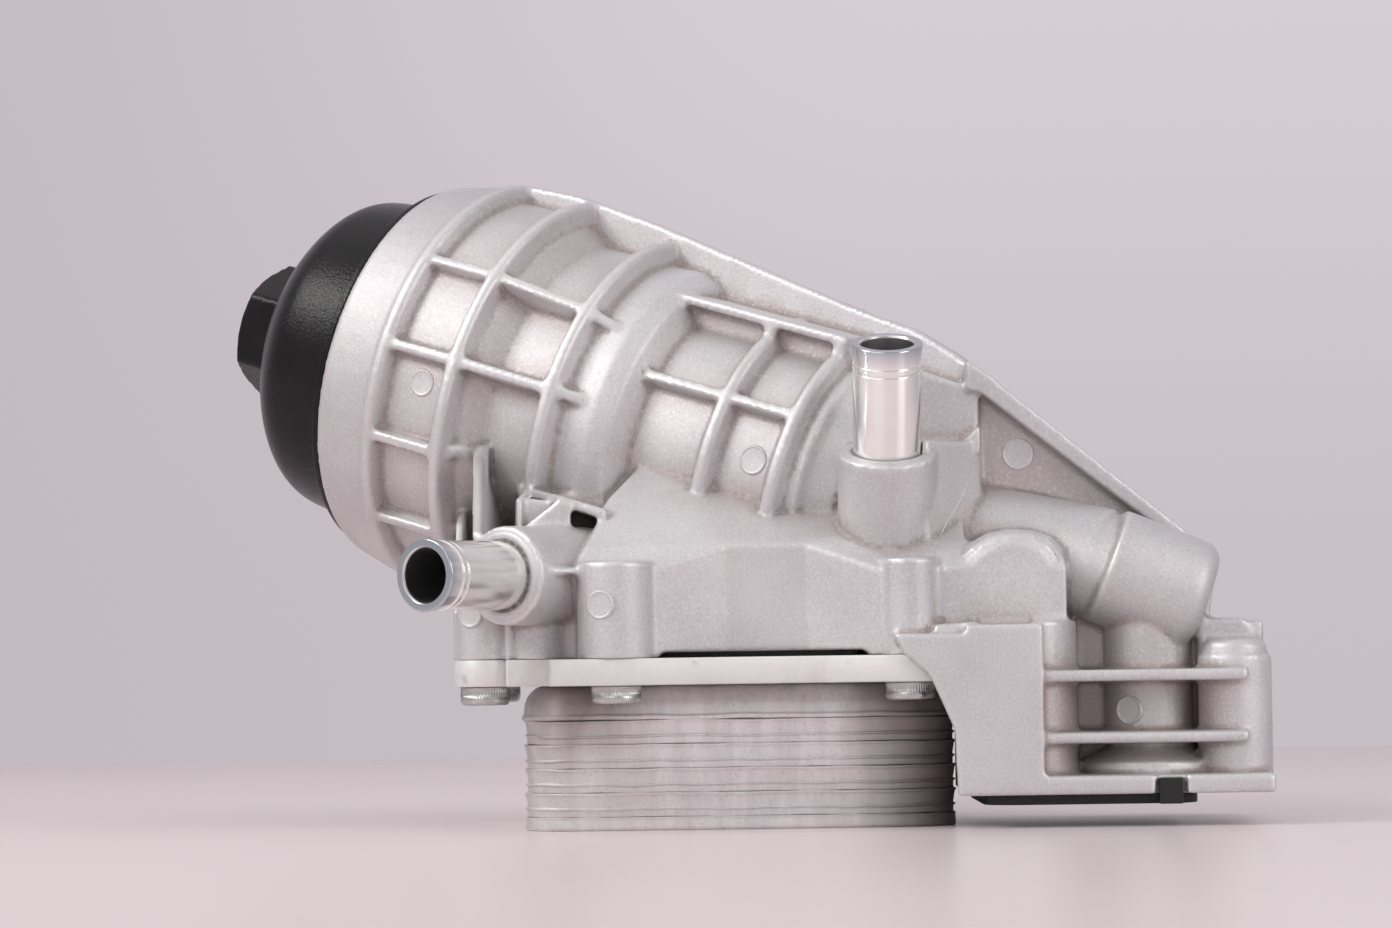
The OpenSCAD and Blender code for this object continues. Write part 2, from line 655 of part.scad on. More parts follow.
// The standpipe that the element slides over, with the bypass valve's seat at its top
module standpipe() color(black_plastic) on_axis() difference() {
    rotate_extrude() polygon([
        [valve_hole_r, pipe_top_s], [standpipe_r, pipe_top_s],
        [standpipe_r, -chamber_depth + 3], [pipe_foot_r, -chamber_depth + 3],
        [pipe_foot_r, -chamber_depth], [clean_bore_r, -chamber_depth],
        [pipe_bore_r, -chamber_depth + 4], [pipe_bore_r, ledge_s - ledge_t],
        [valve_hole_r - 1.5, ledge_s - ledge_t], [valve_hole_r - 1.5, ledge_s],
        [pipe_bore_r, ledge_s], [pipe_bore_r, pipe_top_s - seat_t],
        [valve_hole_r, pipe_top_s - seat_t]]);
    for (i = [0 : window_rows - 1], a = [0, 90]) translate([0, 0, ledge_s - 14 - i * 20])
        rotate([0, 90, a]) cylinder(r = window_r, h = 2 * standpipe_r + 2, center = true);
}

piston_t = 2.6;
piston_top_s = pipe_top_s - seat_t - run_gap;
stem_r = 1.8;

// The bypass valve's piston, a disc with a guide stem
module bypass_piston() color(black_plastic) on_axis() {
    translate([0, 0, piston_top_s - piston_t]) cylinder(r = pipe_bore_r - run_gap - 0.7, h = piston_t);
    translate([0, 0, piston_top_s - 14]) cylinder(r = stem_r, h = 13);
}

// A wire coil along Z: a ring of points is carried round the helix
module coil(r, wire, h, turns) {
    steps = 16 * turns;
    sides = 6;
    rise = h - 2 * wire;
    points = [for (i = [0 : steps], k = [0 : sides - 1])
        let (a = 360 * turns * i / steps, b = 360 * k / sides,
             q = r + wire * cos(b), z = wire + rise * i / steps + wire * sin(b))
        [q * cos(a), q * sin(a), z]];
    faces = concat(
        [[for (k = [0 : sides - 1]) k]],
        [for (i = [0 : steps - 1], k = [0 : sides - 1])
            let (n = (k + 1) % sides)
            [i * sides + k, (i + 1) * sides + k, (i + 1) * sides + n, i * sides + n]],
        [[for (k = [sides - 1 : -1 : 0]) steps * sides + k]]);
    polyhedron(points = points, faces = faces, convexity = 10);
}

bypass_coil_r = 7.6;
bypass_wire = 0.7;

module bypass_spring() color(spring_steel) on_axis(ledge_s)
    coil(bypass_coil_r, bypass_wire, piston_top_s - piston_t - ledge_s, 6);

disc_r = valve_bore_r - 1.2;
disc_t = 1.6;
valve_seat_t = 3;
cage_at = 14;
cage_t = 2.4;
cage_bar = 2.4;

// A place in the valve bore, measured up from the mounting plate
module in_valve_bore(h) {
    translate([valve_xy[0], valve_xy[1], seat_z + h]) children();
}

// The seat of the non-return valve
module non_return_seat() color(polished) in_valve_bore(0) difference() {
    cylinder(r = valve_bore_r - fit_gap, h = valve_seat_t);
    translate([0, 0, -1]) cylinder(r = disc_r - 2.2, h = valve_seat_t + 2);
}

module non_return_disc() color(polished) in_valve_bore(valve_seat_t + run_gap)
    cylinder(r = disc_r, h = disc_t);

module non_return_spring() color(spring_steel) in_valve_bore(valve_seat_t + run_gap + disc_t)
    coil(disc_r - 2, 0.5, cage_at - valve_seat_t - run_gap - disc_t, 4);

// The cage that backs the non-return spring
module non_return_cage() color(polished) in_valve_bore(cage_at) {
    difference() {
        cylinder(r = valve_bore_r - fit_gap, h = cage_t);
        translate([0, 0, -1]) cylinder(r = disc_r - 1, h = cage_t + 2);
    }
    for (a = [0, 90]) rotate([0, 0, a]) translate([-disc_r + 0.4, -cage_bar / 2, 0])
        cube([2 * disc_r - 0.8, cage_bar, cage_t]);
}

// A turned stub with a hose bead, pressed into its boss; Z runs out to the mouth
module stub(out) {
    foot = out - bead_len;
    rotate_extrude() polygon([
        [stub_bore_r, -stub_grip], [stub_r, -stub_grip], [stub_r, foot - 3.2],
        [stub_r - 0.3, foot - 2.8], [stub_r - 0.3, foot - 2], [stub_r + 0.2, foot - 1.6],
        [bead_r, foot], [bead_r, out - 1.8], [bead_r - 1.3, out], [stub_bore_r + 0.5, out],
        [stub_bore_r, out - 0.7]]);
}

module side_coolant_stub() color(polished) translate(side_face)
    rotate([0, 90, 180 + atan2(side_dir[1], side_dir[0])]) stub(side_stub_len);

module top_coolant_stub() color(polished) translate(top_face)
    rotate([top_stub_lean, 0, 0]) stub(top_stub_len);

plate_x1 = 58;
ear_r = 8.6;

// The plate that carries the cooler, with ears for its screws
module mounting_plate() color(sheet_grey) difference() {
    translate([0, 0, plate_z]) linear_extrude(height = plate_t) union() {
        translate([screw_x_end, -screw_y_end]) square([plate_x1 - screw_x_end, 2 * screw_y_end]);
        translate([screw_x_end + 6, -cooler_w / 2 - 3]) square([plate_x1 - screw_x_end - 6, cooler_w + 6]);
        for (sy = [-1, 1]) {
            translate([screw_x_end, sy * screw_y_end]) circle(r = ear_r - 0.6);
            for (x = [screw_x_left, screw_x_right]) translate([x, sy * screw_y]) circle(r = ear_r);
        }
    }
    for (x = [screw_x_left, screw_x_right], sy = [-1, 1]) translate([x, sy * screw_y, plate_z - 1])
        cylinder(r = screw_r + run_gap, h = plate_t + 2);
    for (sy = [-1, 1]) translate([screw_x_end, sy * screw_y_end, plate_z - 1])
        cylinder(r = screw_r + run_gap, h = plate_t + 2);
    for (sx = [-1, 1], sy = [-1, 1]) translate([sx * port_x, sy * port_y, plate_z - 1])
        cylinder(r = port_r, h = plate_t + 2);
}

// A flat slab with the cooler's outline, grown or shrunk all round
module slab(z, h, grow) {
    translate([0, 0, z]) linear_extrude(height = h)
        round_rect(cooler_l + 2 * grow, cooler_w + 2 * grow, cooler_corner + grow);
}

// The four ports through a layer of the cooler
module port_holes(z, h, r) {
    for (sx = [-1, 1], sy = [-1, 1]) translate([sx * port_x, sy * port_y, z - 1])
        cylinder(r = r, h = h + 2);
}

// The collars that keep one fluid's ports shut off from a tray
module port_collars(z, h, side) {
    for (sx = [-1, 1]) translate([sx * port_x, side * port_y, z])
        rotate_extrude() translate([port_r, 0]) square([1.2, h]);
}

tray_wall = 1.7;
foot_in = 0.7;

// One pressed tray of the stack, open at the top
module tray(k) {
    z = cooler_base_t + (k - 1) * tray_pitch;
    color(cooler_grey) difference() {
        union() {
            slab(z, tray_foot, -foot_in);
            slab(z + tray_foot, tray_pitch - tray_foot, 0);
        }
        slab(z + tray_sheet, tray_pitch, -tray_wall);
        port_holes(z, tray_pitch, port_r);
    }
    color(cooler_grey) port_collars(z + tray_sheet, tray_pitch - tray_sheet, k % 2 == 0 ? 1 : -1);
}

module cooler_tray_1() tray(1);
module cooler_tray_2() tray(2);
module cooler_tray_3() tray(3);
module cooler_tray_4() tray(4);

module cooler_base_plate() color(cooler_grey) slab(0, cooler_base_t, -0.2);

top_z = cooler_base_t + tray_count * tray_pitch;
top_skin = 2;

// The tall top tray with its round shoulders, closed above
module cooler_top_tray() color(cooler_grey) {
    difference() {
        hull() {
            slab(top_z, 1, 0.6);
            slab(top_z + 0.45 * top_tray_h, 0.5, 0.2);
            slab(top_z + 0.8 * top_tray_h, 0.5, -1.4);
            slab(top_z + top_tray_h - 0.5, 0.5, -4);
        }
        slab(top_z + tray_sheet, top_tray_h - tray_sheet - top_skin, -5.5);
        port_holes(top_z, top_tray_h, port_r);
    }
    port_collars(top_z + tray_sheet - 0.3, top_tray_h - tray_sheet - top_skin + 0.6, -1);
}

fin_half_l = 50;
fin_half_w = 17;
fin_pitch = 5;
fin_t = 0.35;

// A corrugated sheet that spreads the flow in one layer
module fins(z, h) {
    n = floor(2 * fin_half_l / fin_pitch);
    upper = [for (i = [0 : 2 * n]) [-fin_half_l + i * fin_pitch / 2, i % 2 == 0 ? fin_t : h]];
    lower = [for (i = [2 * n : -1 : 0]) [-fin_half_l + i * fin_pitch / 2, i % 2 == 0 ? 0 : h - fin_t]];
    color(cooler_grey) translate([0, 0, z]) along_y(-fin_half_w, fin_half_w, concat(lower, upper));
}

module tray_fins(k) fins(cooler_base_t + (k - 1) * tray_pitch + tray_sheet, tray_pitch - tray_sheet);

module cooler_fins_1() tray_fins(1);
module cooler_fins_2() tray_fins(2);
module cooler_fins_3() tray_fins(3);
module cooler_fins_4() tray_fins(4);
module cooler_fins_5() fins(top_z + tray_sheet, top_tray_h - tray_sheet - top_skin);

// The four seals between the mounting plate and the housing
module port_seals() color(rubber_black)
    for (sx = [-1, 1], sy = [-1, 1]) translate([sx * port_x, sy * port_y, seat_z])
        rotate_extrude() translate([seal_r0, 0]) square([seal_r1 - seal_r0, seal_h]);

// One cooler screw, head down, from the underside of the plate
module cooler_screw() {
    difference() {
        union() {
            translate([0, 0, -screw_head_h]) rotate_extrude() polygon([
                [0, 0], [screw_head_r - 1.2, 0], [screw_head_r - 0.3, 0.6], [screw_head_r, 1.6],
                [screw_head_r, screw_head_h], [0, screw_head_h]]);
            translate([0, 0, -bite]) cylinder(r = screw_r, h = plate_t + screw_bite + bite);
        }
        translate([0, 0, -screw_head_h - 1]) cylinder(r = screw_r, h = 3.6, $fn = 6);
    }
}

module cooler_screws() color(polished) {
    for (x = [screw_x_left, screw_x_right], sy = [-1, 1]) translate([x, sy * screw_y, plate_z])
        cooler_screw();
    for (sy = [-1, 1]) translate([screw_x_end, sy * screw_y_end, plate_z]) cooler_screw();
}

gasket_x0 = 63.5;
gasket_x1 = 119.8;
gasket_y0 = -60;
gasket_y1 = 14;
gasket_corner = 9;

// The moulded gasket under the engine flange, with the tab that shows in the notch
module engine_gasket() color(rubber_black) difference() {
    union() {
        translate([(gasket_x0 + gasket_x1) / 2, (gasket_y0 + gasket_y1) / 2, flange_z - gasket_t])
            linear_extrude(height = gasket_t)
                round_rect(gasket_x1 - gasket_x0, gasket_y1 - gasket_y0, gasket_corner);
        translate([notch_x0 + 1, gasket_y0 - 4.4, flange_z - gasket_t])
            cube([notch_x1 - notch_x0 - 2.2, 8, gasket_t]);
        translate([notch_x0 + 1, flange_y0 + 1.2, flange_z - gasket_t])
            cube([notch_x1 - notch_x0 - 2.2, 2, gasket_t + notch_h - 0.4]);
    }
    for (p = [[duct_top[0], duct_top[1]], port_2]) translate([p[0], p[1], 0])
        cylinder(r = oil_port_r + 0.5, h = 20);
    for (y = [bolt_y0, bolt_y1]) translate([bolt_x0, y, 0]) cylinder(r = tap_r + 1.2, h = 20);
}

housing();
filter_cap();
cap_seal_ring();
filter_paper();
filter_core_tube();
element_top_disc();
element_bottom_disc();
standpipe();
bypass_piston();
bypass_spring();
non_return_seat();
non_return_disc();
non_return_spring();
non_return_cage();
side_coolant_stub();
top_coolant_stub();
mounting_plate();
cooler_top_tray();
cooler_tray_4();
cooler_tray_3();
cooler_tray_2();
cooler_tray_1();
cooler_base_plate();
cooler_fins_5();
cooler_fins_4();
cooler_fins_3();
cooler_fins_2();
cooler_fins_1();
port_seals();
cooler_screws();
engine_gasket();
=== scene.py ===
# %% [markdown]
# An oil filter housing, seen from the side on a pale table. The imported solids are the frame: they say
# where every piece is. This file gives each of them its finish, and remakes those whose soft edges
# the solids don't have: the casting, the screw cap, the turned stubs, the cooler's sheets and the
# screws.

# %% Load the frame
import json
import math

import bmesh
import bpy
import numpy as np
from mathutils import Matrix, Vector
from mathutils.bvhtree import BVHTree


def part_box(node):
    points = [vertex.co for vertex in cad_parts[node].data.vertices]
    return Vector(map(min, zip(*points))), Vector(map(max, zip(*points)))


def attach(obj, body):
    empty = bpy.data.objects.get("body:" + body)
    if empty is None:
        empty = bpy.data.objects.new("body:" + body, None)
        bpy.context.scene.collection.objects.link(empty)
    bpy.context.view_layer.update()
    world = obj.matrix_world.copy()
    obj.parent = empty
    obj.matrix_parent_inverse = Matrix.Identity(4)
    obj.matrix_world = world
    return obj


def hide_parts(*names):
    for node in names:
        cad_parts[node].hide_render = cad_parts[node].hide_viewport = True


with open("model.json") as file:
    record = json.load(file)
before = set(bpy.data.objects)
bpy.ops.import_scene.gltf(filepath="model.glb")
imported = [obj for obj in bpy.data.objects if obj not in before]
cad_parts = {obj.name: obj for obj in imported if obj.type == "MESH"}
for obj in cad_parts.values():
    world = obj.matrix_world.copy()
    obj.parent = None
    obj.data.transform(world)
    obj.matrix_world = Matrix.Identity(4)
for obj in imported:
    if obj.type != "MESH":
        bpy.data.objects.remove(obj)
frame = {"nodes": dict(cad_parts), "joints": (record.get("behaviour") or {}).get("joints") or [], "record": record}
nodes = frame["nodes"]
joints = {joint["name"]: joint for joint in frame["joints"]}
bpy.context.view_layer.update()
MM = 0.001
print("pieces in the frame:", len(nodes))

# %% [markdown]
# The photograph was taken with a long lens from just above the table, 1.3 m in front of the part.
# The eye and the aim are places in the part's own frame, and the roll is the small tilt of the
# camera. Shift and depth of field stay off.

# %% Camera
PHOTO_W = 1392
PHOTO_H = 928
SCALE_PX_MM = 3.65
DISTANCE_MM = 1300.0
MIDDLE_PX = (741.5, 828.0)
FRAME_OFFSET_MM = (1.8, -1.4)
EYE_HEIGHT_MM = 50.0
ROLL_DEG = 0.8
SENSOR_MM = 36.0

eye = Vector((
    (PHOTO_W / 2 - MIDDLE_PX[0]) / SCALE_PX_MM + FRAME_OFFSET_MM[0],
    -DISTANCE_MM,
    EYE_HEIGHT_MM + FRAME_OFFSET_MM[1])) * MM
aim = Vector((eye.x, 0, ((MIDDLE_PX[1] - PHOTO_H / 2) / SCALE_PX_MM + FRAME_OFFSET_MM[1]) * MM))
forward = (aim - eye).normalized()
level = forward.cross(Vector((0, 0, 1))).normalized()
upright = level.cross(forward)
roll = math.radians(ROLL_DEG)
side = level * math.cos(roll) - upright * math.sin(roll)
top = level * math.sin(roll) + upright * math.cos(roll)

lens = bpy.data.cameras.new("camera")
lens.sensor_width = SENSOR_MM
lens.lens = SCALE_PX_MM * DISTANCE_MM * SENSOR_MM / PHOTO_W
lens.clip_end = 30
camera = bpy.data.objects.new("camera", lens)
bpy.context.scene.collection.objects.link(camera)
camera.matrix_world = Matrix.Translation(eye) @ Matrix((side, top, -forward)).transposed().to_4x4()
bpy.context.scene.camera = camera


def ray_at(px, py):
    """The direction from the eye through a point of the photograph, in its pixels."""
    focal = SCALE_PX_MM * DISTANCE_MM
    return (forward + side * ((px - PHOTO_W / 2) / focal) - top * ((py - PHOTO_H / 2) / focal)).normalized()


# %% [markdown]
# Finishes are written as sums and products. A Value wraps one output of a material's nodes, and
# adding or multiplying Values adds the Math nodes. A Finish is one material: its node() makes any
# other node, sets its settings first and then its inputs.

# %% Materials as expressions
class Value:
    """One output socket of a finish, with arithmetic."""

    def __init__(self, finish, socket):
        self.finish = finish
        self.socket = socket

    def math(self, operation, other):
        return self.finish.node("ShaderNodeMath", {"operation": operation}, {0: self, 1: other})

    def __add__(self, other):
        return self.math("ADD", other)

    def __sub__(self, other):
        return self.math("SUBTRACT", other)

    def __mul__(self, other):
        return self.math("MULTIPLY", other)

    __radd__ = __add__
    __rmul__ = __mul__

    def at_least(self, other):
        return self.math("MAXIMUM", other)

    def at_most(self, other):
        return self.math("MINIMUM", other)

    def unit(self):
        """Held between 0 and 1."""
        return self.at_least(0.0).at_most(1.0)

    def step(self, low, high):
        """0 below low, 1 above high, smooth between."""
        return self.finish.node(
            "ShaderNodeMapRange", {"interpolation_type": "SMOOTHSTEP"},
            {"Value": self, "From Min": low, "From Max": high})


class Finish:
    """One material, with its shader and its nodes."""

    def __init__(self, name, **shader):
        self.material = bpy.data.materials.new(name)
        self.material.use_nodes = True
        self.tree = self.material.node_tree
        self.bsdf = self.tree.nodes["Principled BSDF"]
        for socket, value in shader.items():
            self.bsdf.inputs[socket.replace("_", " ")].default_value = value
        self.place = self.node("ShaderNodeTexCoord", out="Object")

    def put(self, socket, value):
        """Links a Value to an input, or sets a plain number or colour there."""
        if isinstance(value, Value):
            self.tree.links.new(value.socket, socket)
        elif hasattr(value, "__len__") and len(value) == 3 and socket.type == "RGBA":
            socket.default_value = (*value, 1.0)
        else:
            socket.default_value = value

    def node(self, kind, settings=None, inputs=None, out=0):
        made = self.tree.nodes.new(kind)
        for key, value in (settings or {}).items():
            setattr(made, key, value)
        for key, value in (inputs or {}).items():
            self.put(made.inputs[key], value)
        return Value(self, made.outputs[out])

    def noise(self, per_metre, detail=2.0, rough=0.5, place=None, warp=0.0):
        return self.node("ShaderNodeTexNoise", {}, {
            "Vector": place or self.place, "Scale": per_metre, "Detail": detail,
            "Roughness": rough, "Distortion": warp})

    def stretch(self, along, turn=(0, 0, 0)):
        """Object coordinates turned, then scaled along each axis."""
        turned = self.node("ShaderNodeMapping", {}, {
            "Vector": self.place, "Rotation": tuple(math.radians(a) for a in turn)})
        return self.node("ShaderNodeMapping", {}, {"Vector": turned, "Scale": along})

    def mix(self, amount, low, high):
        """low where amount is 0, high where it is 1; both are colours."""
        return self.node("ShaderNodeMix", {"data_type": "RGBA"}, {0: amount, 6: low, 7: high}, out=2)

    def reading(self, name):
        """A number kept on the mesh's points."""
        return self.node("ShaderNodeAttribute", {"attribute_name": name}, out="Fac")

    def axis(self, letter):
        return self.node("ShaderNodeSeparateXYZ", {}, {0: self.place}, out="XYZ".index(letter))

    def bump(self, height, depth_mm, strength=1.0):
        self.put(self.bsdf.inputs["Normal"], self.node("ShaderNodeBump", {}, {
            "Height": height, "Distance": depth_mm * MM, "Strength": strength}, out="Normal"))

    def show(self, **looks):
        for socket, value in looks.items():
            self.put(self.bsdf.inputs[socket.replace("_", " ")], value)
        return self.material


def wear(thing, material):
    """Gives an object one material."""
    thing.data.materials.clear()
    thing.data.materials.append(material)


# %% [markdown]
# Die-cast aluminium is light grey and sandy to the eye: the skin of the metal copies the blasted
# mould. Crests of ribs are painted a little lighter, a painted highlight, and made smoother; folds are
# painted darker, painted shade; and hollows between ribs are painted a darker brownish grey, painted
# shade with a warm painted reflection of the metal round them. The mesh carries two numbers, and the
# finish reads them: convexity is 0.5 on flat skin, more on crests and less in folds, and the pocket
# number is 0.5 on open skin and more deep between ribs.

# %% Cast aluminium
def cast_aluminium():
    f = Finish("cast_aluminium", Metallic=0.80, Specular_IOR_Level=0.5)
    sand = f.noise(1500, 2.0, 0.65)
    grit = f.noise(620, 3.0, 0.65)
    cloud = f.noise(24, 4.0, 0.55)
    smear = f.noise(55, 3.0, 0.6, warp=0.6)
    # These masks pick out crests, for a painted highlight, and folds, for painted shade.
    crest_highlight = f.reading("convexity").step(0.54, 0.80)
    fold_shade = f.reading("convexity").step(0.47, 0.2)
    pocket_shade = f.reading("pocket_shade").step(0.52, 0.95)
    skin = f.mix(cloud.step(0.3, 0.7), (0.60, 0.582, 0.595), (0.70, 0.685, 0.695))
    skin = f.mix(smear.step(0.55, 0.8) * 0.30, skin, (0.56, 0.52, 0.51))
    # Painted shade with a warm painted reflection: hollows between ribs are painted darker and browner.
    skin = f.mix(pocket_shade * (0.45 + 0.5 * smear), skin, (0.50, 0.44, 0.42))
    # Painted shade: folds are painted darker.
    skin = f.mix(fold_shade * 0.5, skin, (0.30, 0.26, 0.25))
    skin = f.mix(sand.step(0.52, 0.72) * 0.35, skin, (0.90, 0.90, 0.91))
    skin = f.mix(sand.step(0.46, 0.28) * 0.35, skin, (0.43, 0.41, 0.42))
    # Painted highlight: crests are painted lighter.
    skin = f.mix(crest_highlight * 0.22, skin, (0.84, 0.83, 0.83))
    f.bump(sand * 0.6 + grit * 0.4, 0.20, 0.6)
    return f.show(Base_Color=skin, Roughness=0.54 + grit * 0.12 + fold_shade * 0.1 - crest_highlight * 0.1)


CAST = cast_aluminium()

# %% [markdown]
# The cap is moulded from black plastic, satin all over, with a fine grain that breaks the highlight
# up into sparkles.

# %% Black cap plastic
def cap_plastic():
    f = Finish("cap_plastic", Specular_IOR_Level=0.24)
    grain = f.noise(1500, 2.0, 0.65)
    wave = f.noise(60, 2.0)
    shade = f.mix(wave.step(0.35, 0.7), (0.005, 0.0045, 0.005), (0.009, 0.008, 0.009))
    f.bump(grain, 0.2, 0.7)
    return f.show(Base_Color=shade, Roughness=0.15 + grain * 0.2)


CAP_BLACK = cap_plastic()

# %% [markdown]
# The stubs are turned from bar and polished, so they mirror the room in stripes along their length.
# Fine rings left by the tool run round them, and a little haze dulls the shine in patches. Two
# numbers on the mesh say where the bore is, which is rougher and painted dark grey as painted shade
# inside the tube, and the mouth, which is blue-grey.
# The screws and the valve's steel are plated with zinc, which is duller.

# %% Turned and polished metal
def polished_metal():
    f = Finish("polished_metal", Metallic=1.0)
    haze = f.noise(60, 2.0, 0.5)
    rings = f.noise(1.0, 1.0, 0.5, place=f.stretch((60, 60, 2600)))
    bore = f.reading("bore")
    mouth = f.reading("mouth")
    tone = f.mix(haze.step(0.4, 0.75), (0.94, 0.93, 0.91), (0.86, 0.85, 0.84))
    tone = f.mix(mouth * 0.85, tone, (0.44, 0.48, 0.53))
    # Painted shade: the bore is painted dark grey.
    tone = f.mix(bore * 0.6, tone, (0.26, 0.26, 0.27))
    f.bump(rings, 0.02, 0.25)
    return f.show(Base_Color=tone, Roughness=0.16 + haze * 0.08 + bore * 0.12)


POLISHED = polished_metal()


def zinc_plate():
    f = Finish("zinc_plate", Metallic=1.0)
    haze = f.noise(220, 3.0, 0.6)
    tone = f.mix(haze.step(0.35, 0.7), (0.58, 0.57, 0.56), (0.46, 0.455, 0.46))
    f.bump(f.noise(1400, 2.0), 0.05, 0.3)
    return f.show(Base_Color=tone, Roughness=0.22 + haze * 0.14)


ZINC = zinc_plate()

# %% [markdown]
# The plate under the casting is matt aluminium sheet. Its edge is blanked, so it is rough and pale,
# with bruises, and it has a faint brown film where the flux ran.

# %% Sheet plate
def sheet_plate():
    f = Finish("sheet_plate", Metallic=0.55, Specular_IOR_Level=0.5)
    torn = f.noise(1.0, 3.0, 0.6, place=f.stretch((170, 170, 420)))
    fine = f.noise(1500, 2.0, 0.6)
    film = f.noise(38, 3.0, 0.6, warp=0.8)
    bruise = f.noise(150, 2.0, 0.6)
    tone = f.mix(film.step(0.45, 0.75), (0.82, 0.805, 0.80), (0.68, 0.65, 0.63))
    tone = f.mix(bruise.step(0.62, 0.72) * 0.5, tone, (0.52, 0.50, 0.49))
    f.bump(torn * 0.7 + fine * 0.3, 0.28, 0.6)
    return f.show(Base_Color=tone, Roughness=0.52 + torn * 0.16)


PLATE = sheet_plate()

# %% [markdown]
# The cooler is brazed in a furnace. The braze leaves the sheets satin grey with brown smudges and
# upright streaks where the flux ran down. The smudges and a painted shade share one mask: it is
# stronger on the upper trays, which lie under the plate, and holds a dark band near the left screw
# and a darkening towards the right end, all painted shade, while the middle of the upper trays is
# cleared, a painted patch of light. The far right end is painted near black, a painted shadow.

# %% Brazed sheets
def brazed_sheet():
    f = Finish("brazed_sheet", Metallic=0.8, Specular_IOR_Level=0.5)
    x = f.axis("X")
    z = f.axis("Z")
    streak = f.noise(1.0, 3.0, 0.6, place=f.stretch((240, 240, 45)))
    cloud = f.noise(34, 4.0, 0.6, warp=1.0)
    grain = f.noise(1200, 2.0, 0.6)
    # The upper trays: the smudges are stronger there, with painted shade under the plate.
    high = z.step(0.010, 0.036)
    # Painted shade: a dark band near the left screw, and a darkening towards the right end.
    left = x.step(-0.010, -0.044) * x.step(-0.060, -0.044)
    right = x.step(0.012, 0.045)
    # Painted shadow: the far right end of the cooler.
    far_end_shadow = x.step(0.024, 0.057)
    # Painted light: a lighter patch in the middle of the upper trays.
    middle = x.step(-0.042, -0.005) * x.step(0.050, 0.012)
    # The smudge mask: real smudges plus painted shade, less the painted light in the middle, and at least the far
    # end's painted shadow.
    smudge_and_shade = (cloud * 1.4 - 0.35 + left * 0.5 + right * 0.55) * (high * 0.8 + 0.2)
    smudge_and_shade = (smudge_and_shade - middle * high * 0.7).unit().at_least(far_end_shadow * 0.9)
    tone = f.mix(streak.step(0.35, 0.7), (0.76, 0.735, 0.75), (0.86, 0.84, 0.855))
    tone = f.mix(smudge_and_shade * 0.85, tone, (0.31, 0.26, 0.235))
    # Painted shadow: the far right end is painted near black.
    tone = f.mix(far_end_shadow * 0.85, tone, (0.12, 0.10, 0.09))
    tone = f.mix(grain.step(0.45, 0.25) * 0.3, tone, (0.30, 0.28, 0.28))
    f.bump(streak * 0.4 + grain * 0.6, 0.12, 0.5)
    return f.show(Base_Color=tone, Roughness=0.46 + grain * 0.12 + smudge_and_shade * 0.1)


BRAZED = brazed_sheet()

# %% [markdown]
# The rest is plain: black moulded rubber for gasket and seals, cream paper with a fibrous grain,
# dark plastic for the element's frame, and bright spring wire.

# %% Small finishes
def rubber():
    f = Finish("rubber", Specular_IOR_Level=0.4)
    grain = f.noise(900, 2.0)
    f.bump(grain, 0.05, 0.4)
    return f.show(Base_Color=f.mix(grain, (0.010, 0.010, 0.011), (0.022, 0.022, 0.023)),
                  Roughness=0.42 + grain * 0.15)


def filter_paper():
    f = Finish("filter_paper", Specular_IOR_Level=0.25)
    fibre = f.noise(1.0, 4.0, 0.7, place=f.stretch((900, 900, 200)))
    f.bump(fibre, 0.08, 0.5)
    return f.show(Base_Color=f.mix(fibre, (0.66, 0.55, 0.33), (0.82, 0.73, 0.52)),
                  Roughness=0.85 + fibre * 0.1)


def frame_plastic():
    f = Finish("frame_plastic", Specular_IOR_Level=0.5)
    grain = f.noise(800, 2.0)
    f.bump(grain, 0.05, 0.3)
    return f.show(Base_Color=f.mix(grain, (0.016, 0.016, 0.018), (0.030, 0.030, 0.033)),
                  Roughness=0.38 + grain * 0.15)


def spring_wire():
    f = Finish("spring_wire", Metallic=1.0)
    draw = f.noise(700, 2.0)
    f.bump(draw, 0.03, 0.3)
    return f.show(Base_Color=f.mix(draw, (0.42, 0.42, 0.44), (0.56, 0.56, 0.58)),
                  Roughness=0.28 + draw * 0.12)


RUBBER = rubber()
PAPER = filter_paper()
FRAME_PLASTIC = frame_plastic()
WIRE = spring_wire()

FINISHES = {
    "cast_housing": CAST, "cap_plastic": CAP_BLACK, "element_plastic": FRAME_PLASTIC,
    "seal_rubber": RUBBER, "gasket_rubber": RUBBER, "filter_paper": PAPER, "spring_steel": WIRE,
    "valve_steel": ZINC, "stub_metal": POLISHED, "plate_metal": PLATE, "cooler_metal": BRAZED,
    "fin_metal": BRAZED, "zinc_screws": ZINC}
for part in frame["record"]["subparts"]:
    wear(nodes[part["node"]], FINISHES[part["material_slot"]])

# %% [markdown]
# Turned and moulded round pieces are surfaces of revolution. A profile is a list of (radius, height)
# corners. Each corner is rounded by a short curve, and the profile is carried round its axis.

# %% Surfaces of revolution
def placed(name, data):
    """A new object in the scene, at the origin."""
    thing = bpy.data.objects.new(name, data)
    bpy.context.scene.collection.objects.link(thing)
    return thing


def mesh_from(name, cells):
    """A new mesh from cells that are then let go."""
    mesh = bpy.data.meshes.new(name)
    cells.to_mesh(mesh)
    cells.free()
    return mesh


def closed_copy(name, node):
    """A copy of a node's mesh with its loose triangles joined up, as a new object."""
    cells = bmesh.new()
    cells.from_mesh(nodes[node].data)
    bmesh.ops.remove_doubles(cells, verts=cells.verts, dist=1e-6)
    return placed(name, mesh_from(name, cells))


def smooth_shaded(thing):
    mesh = thing.data
    mesh.polygons.foreach_set("use_smooth", np.ones(len(mesh.polygons), bool))
    mesh.update()


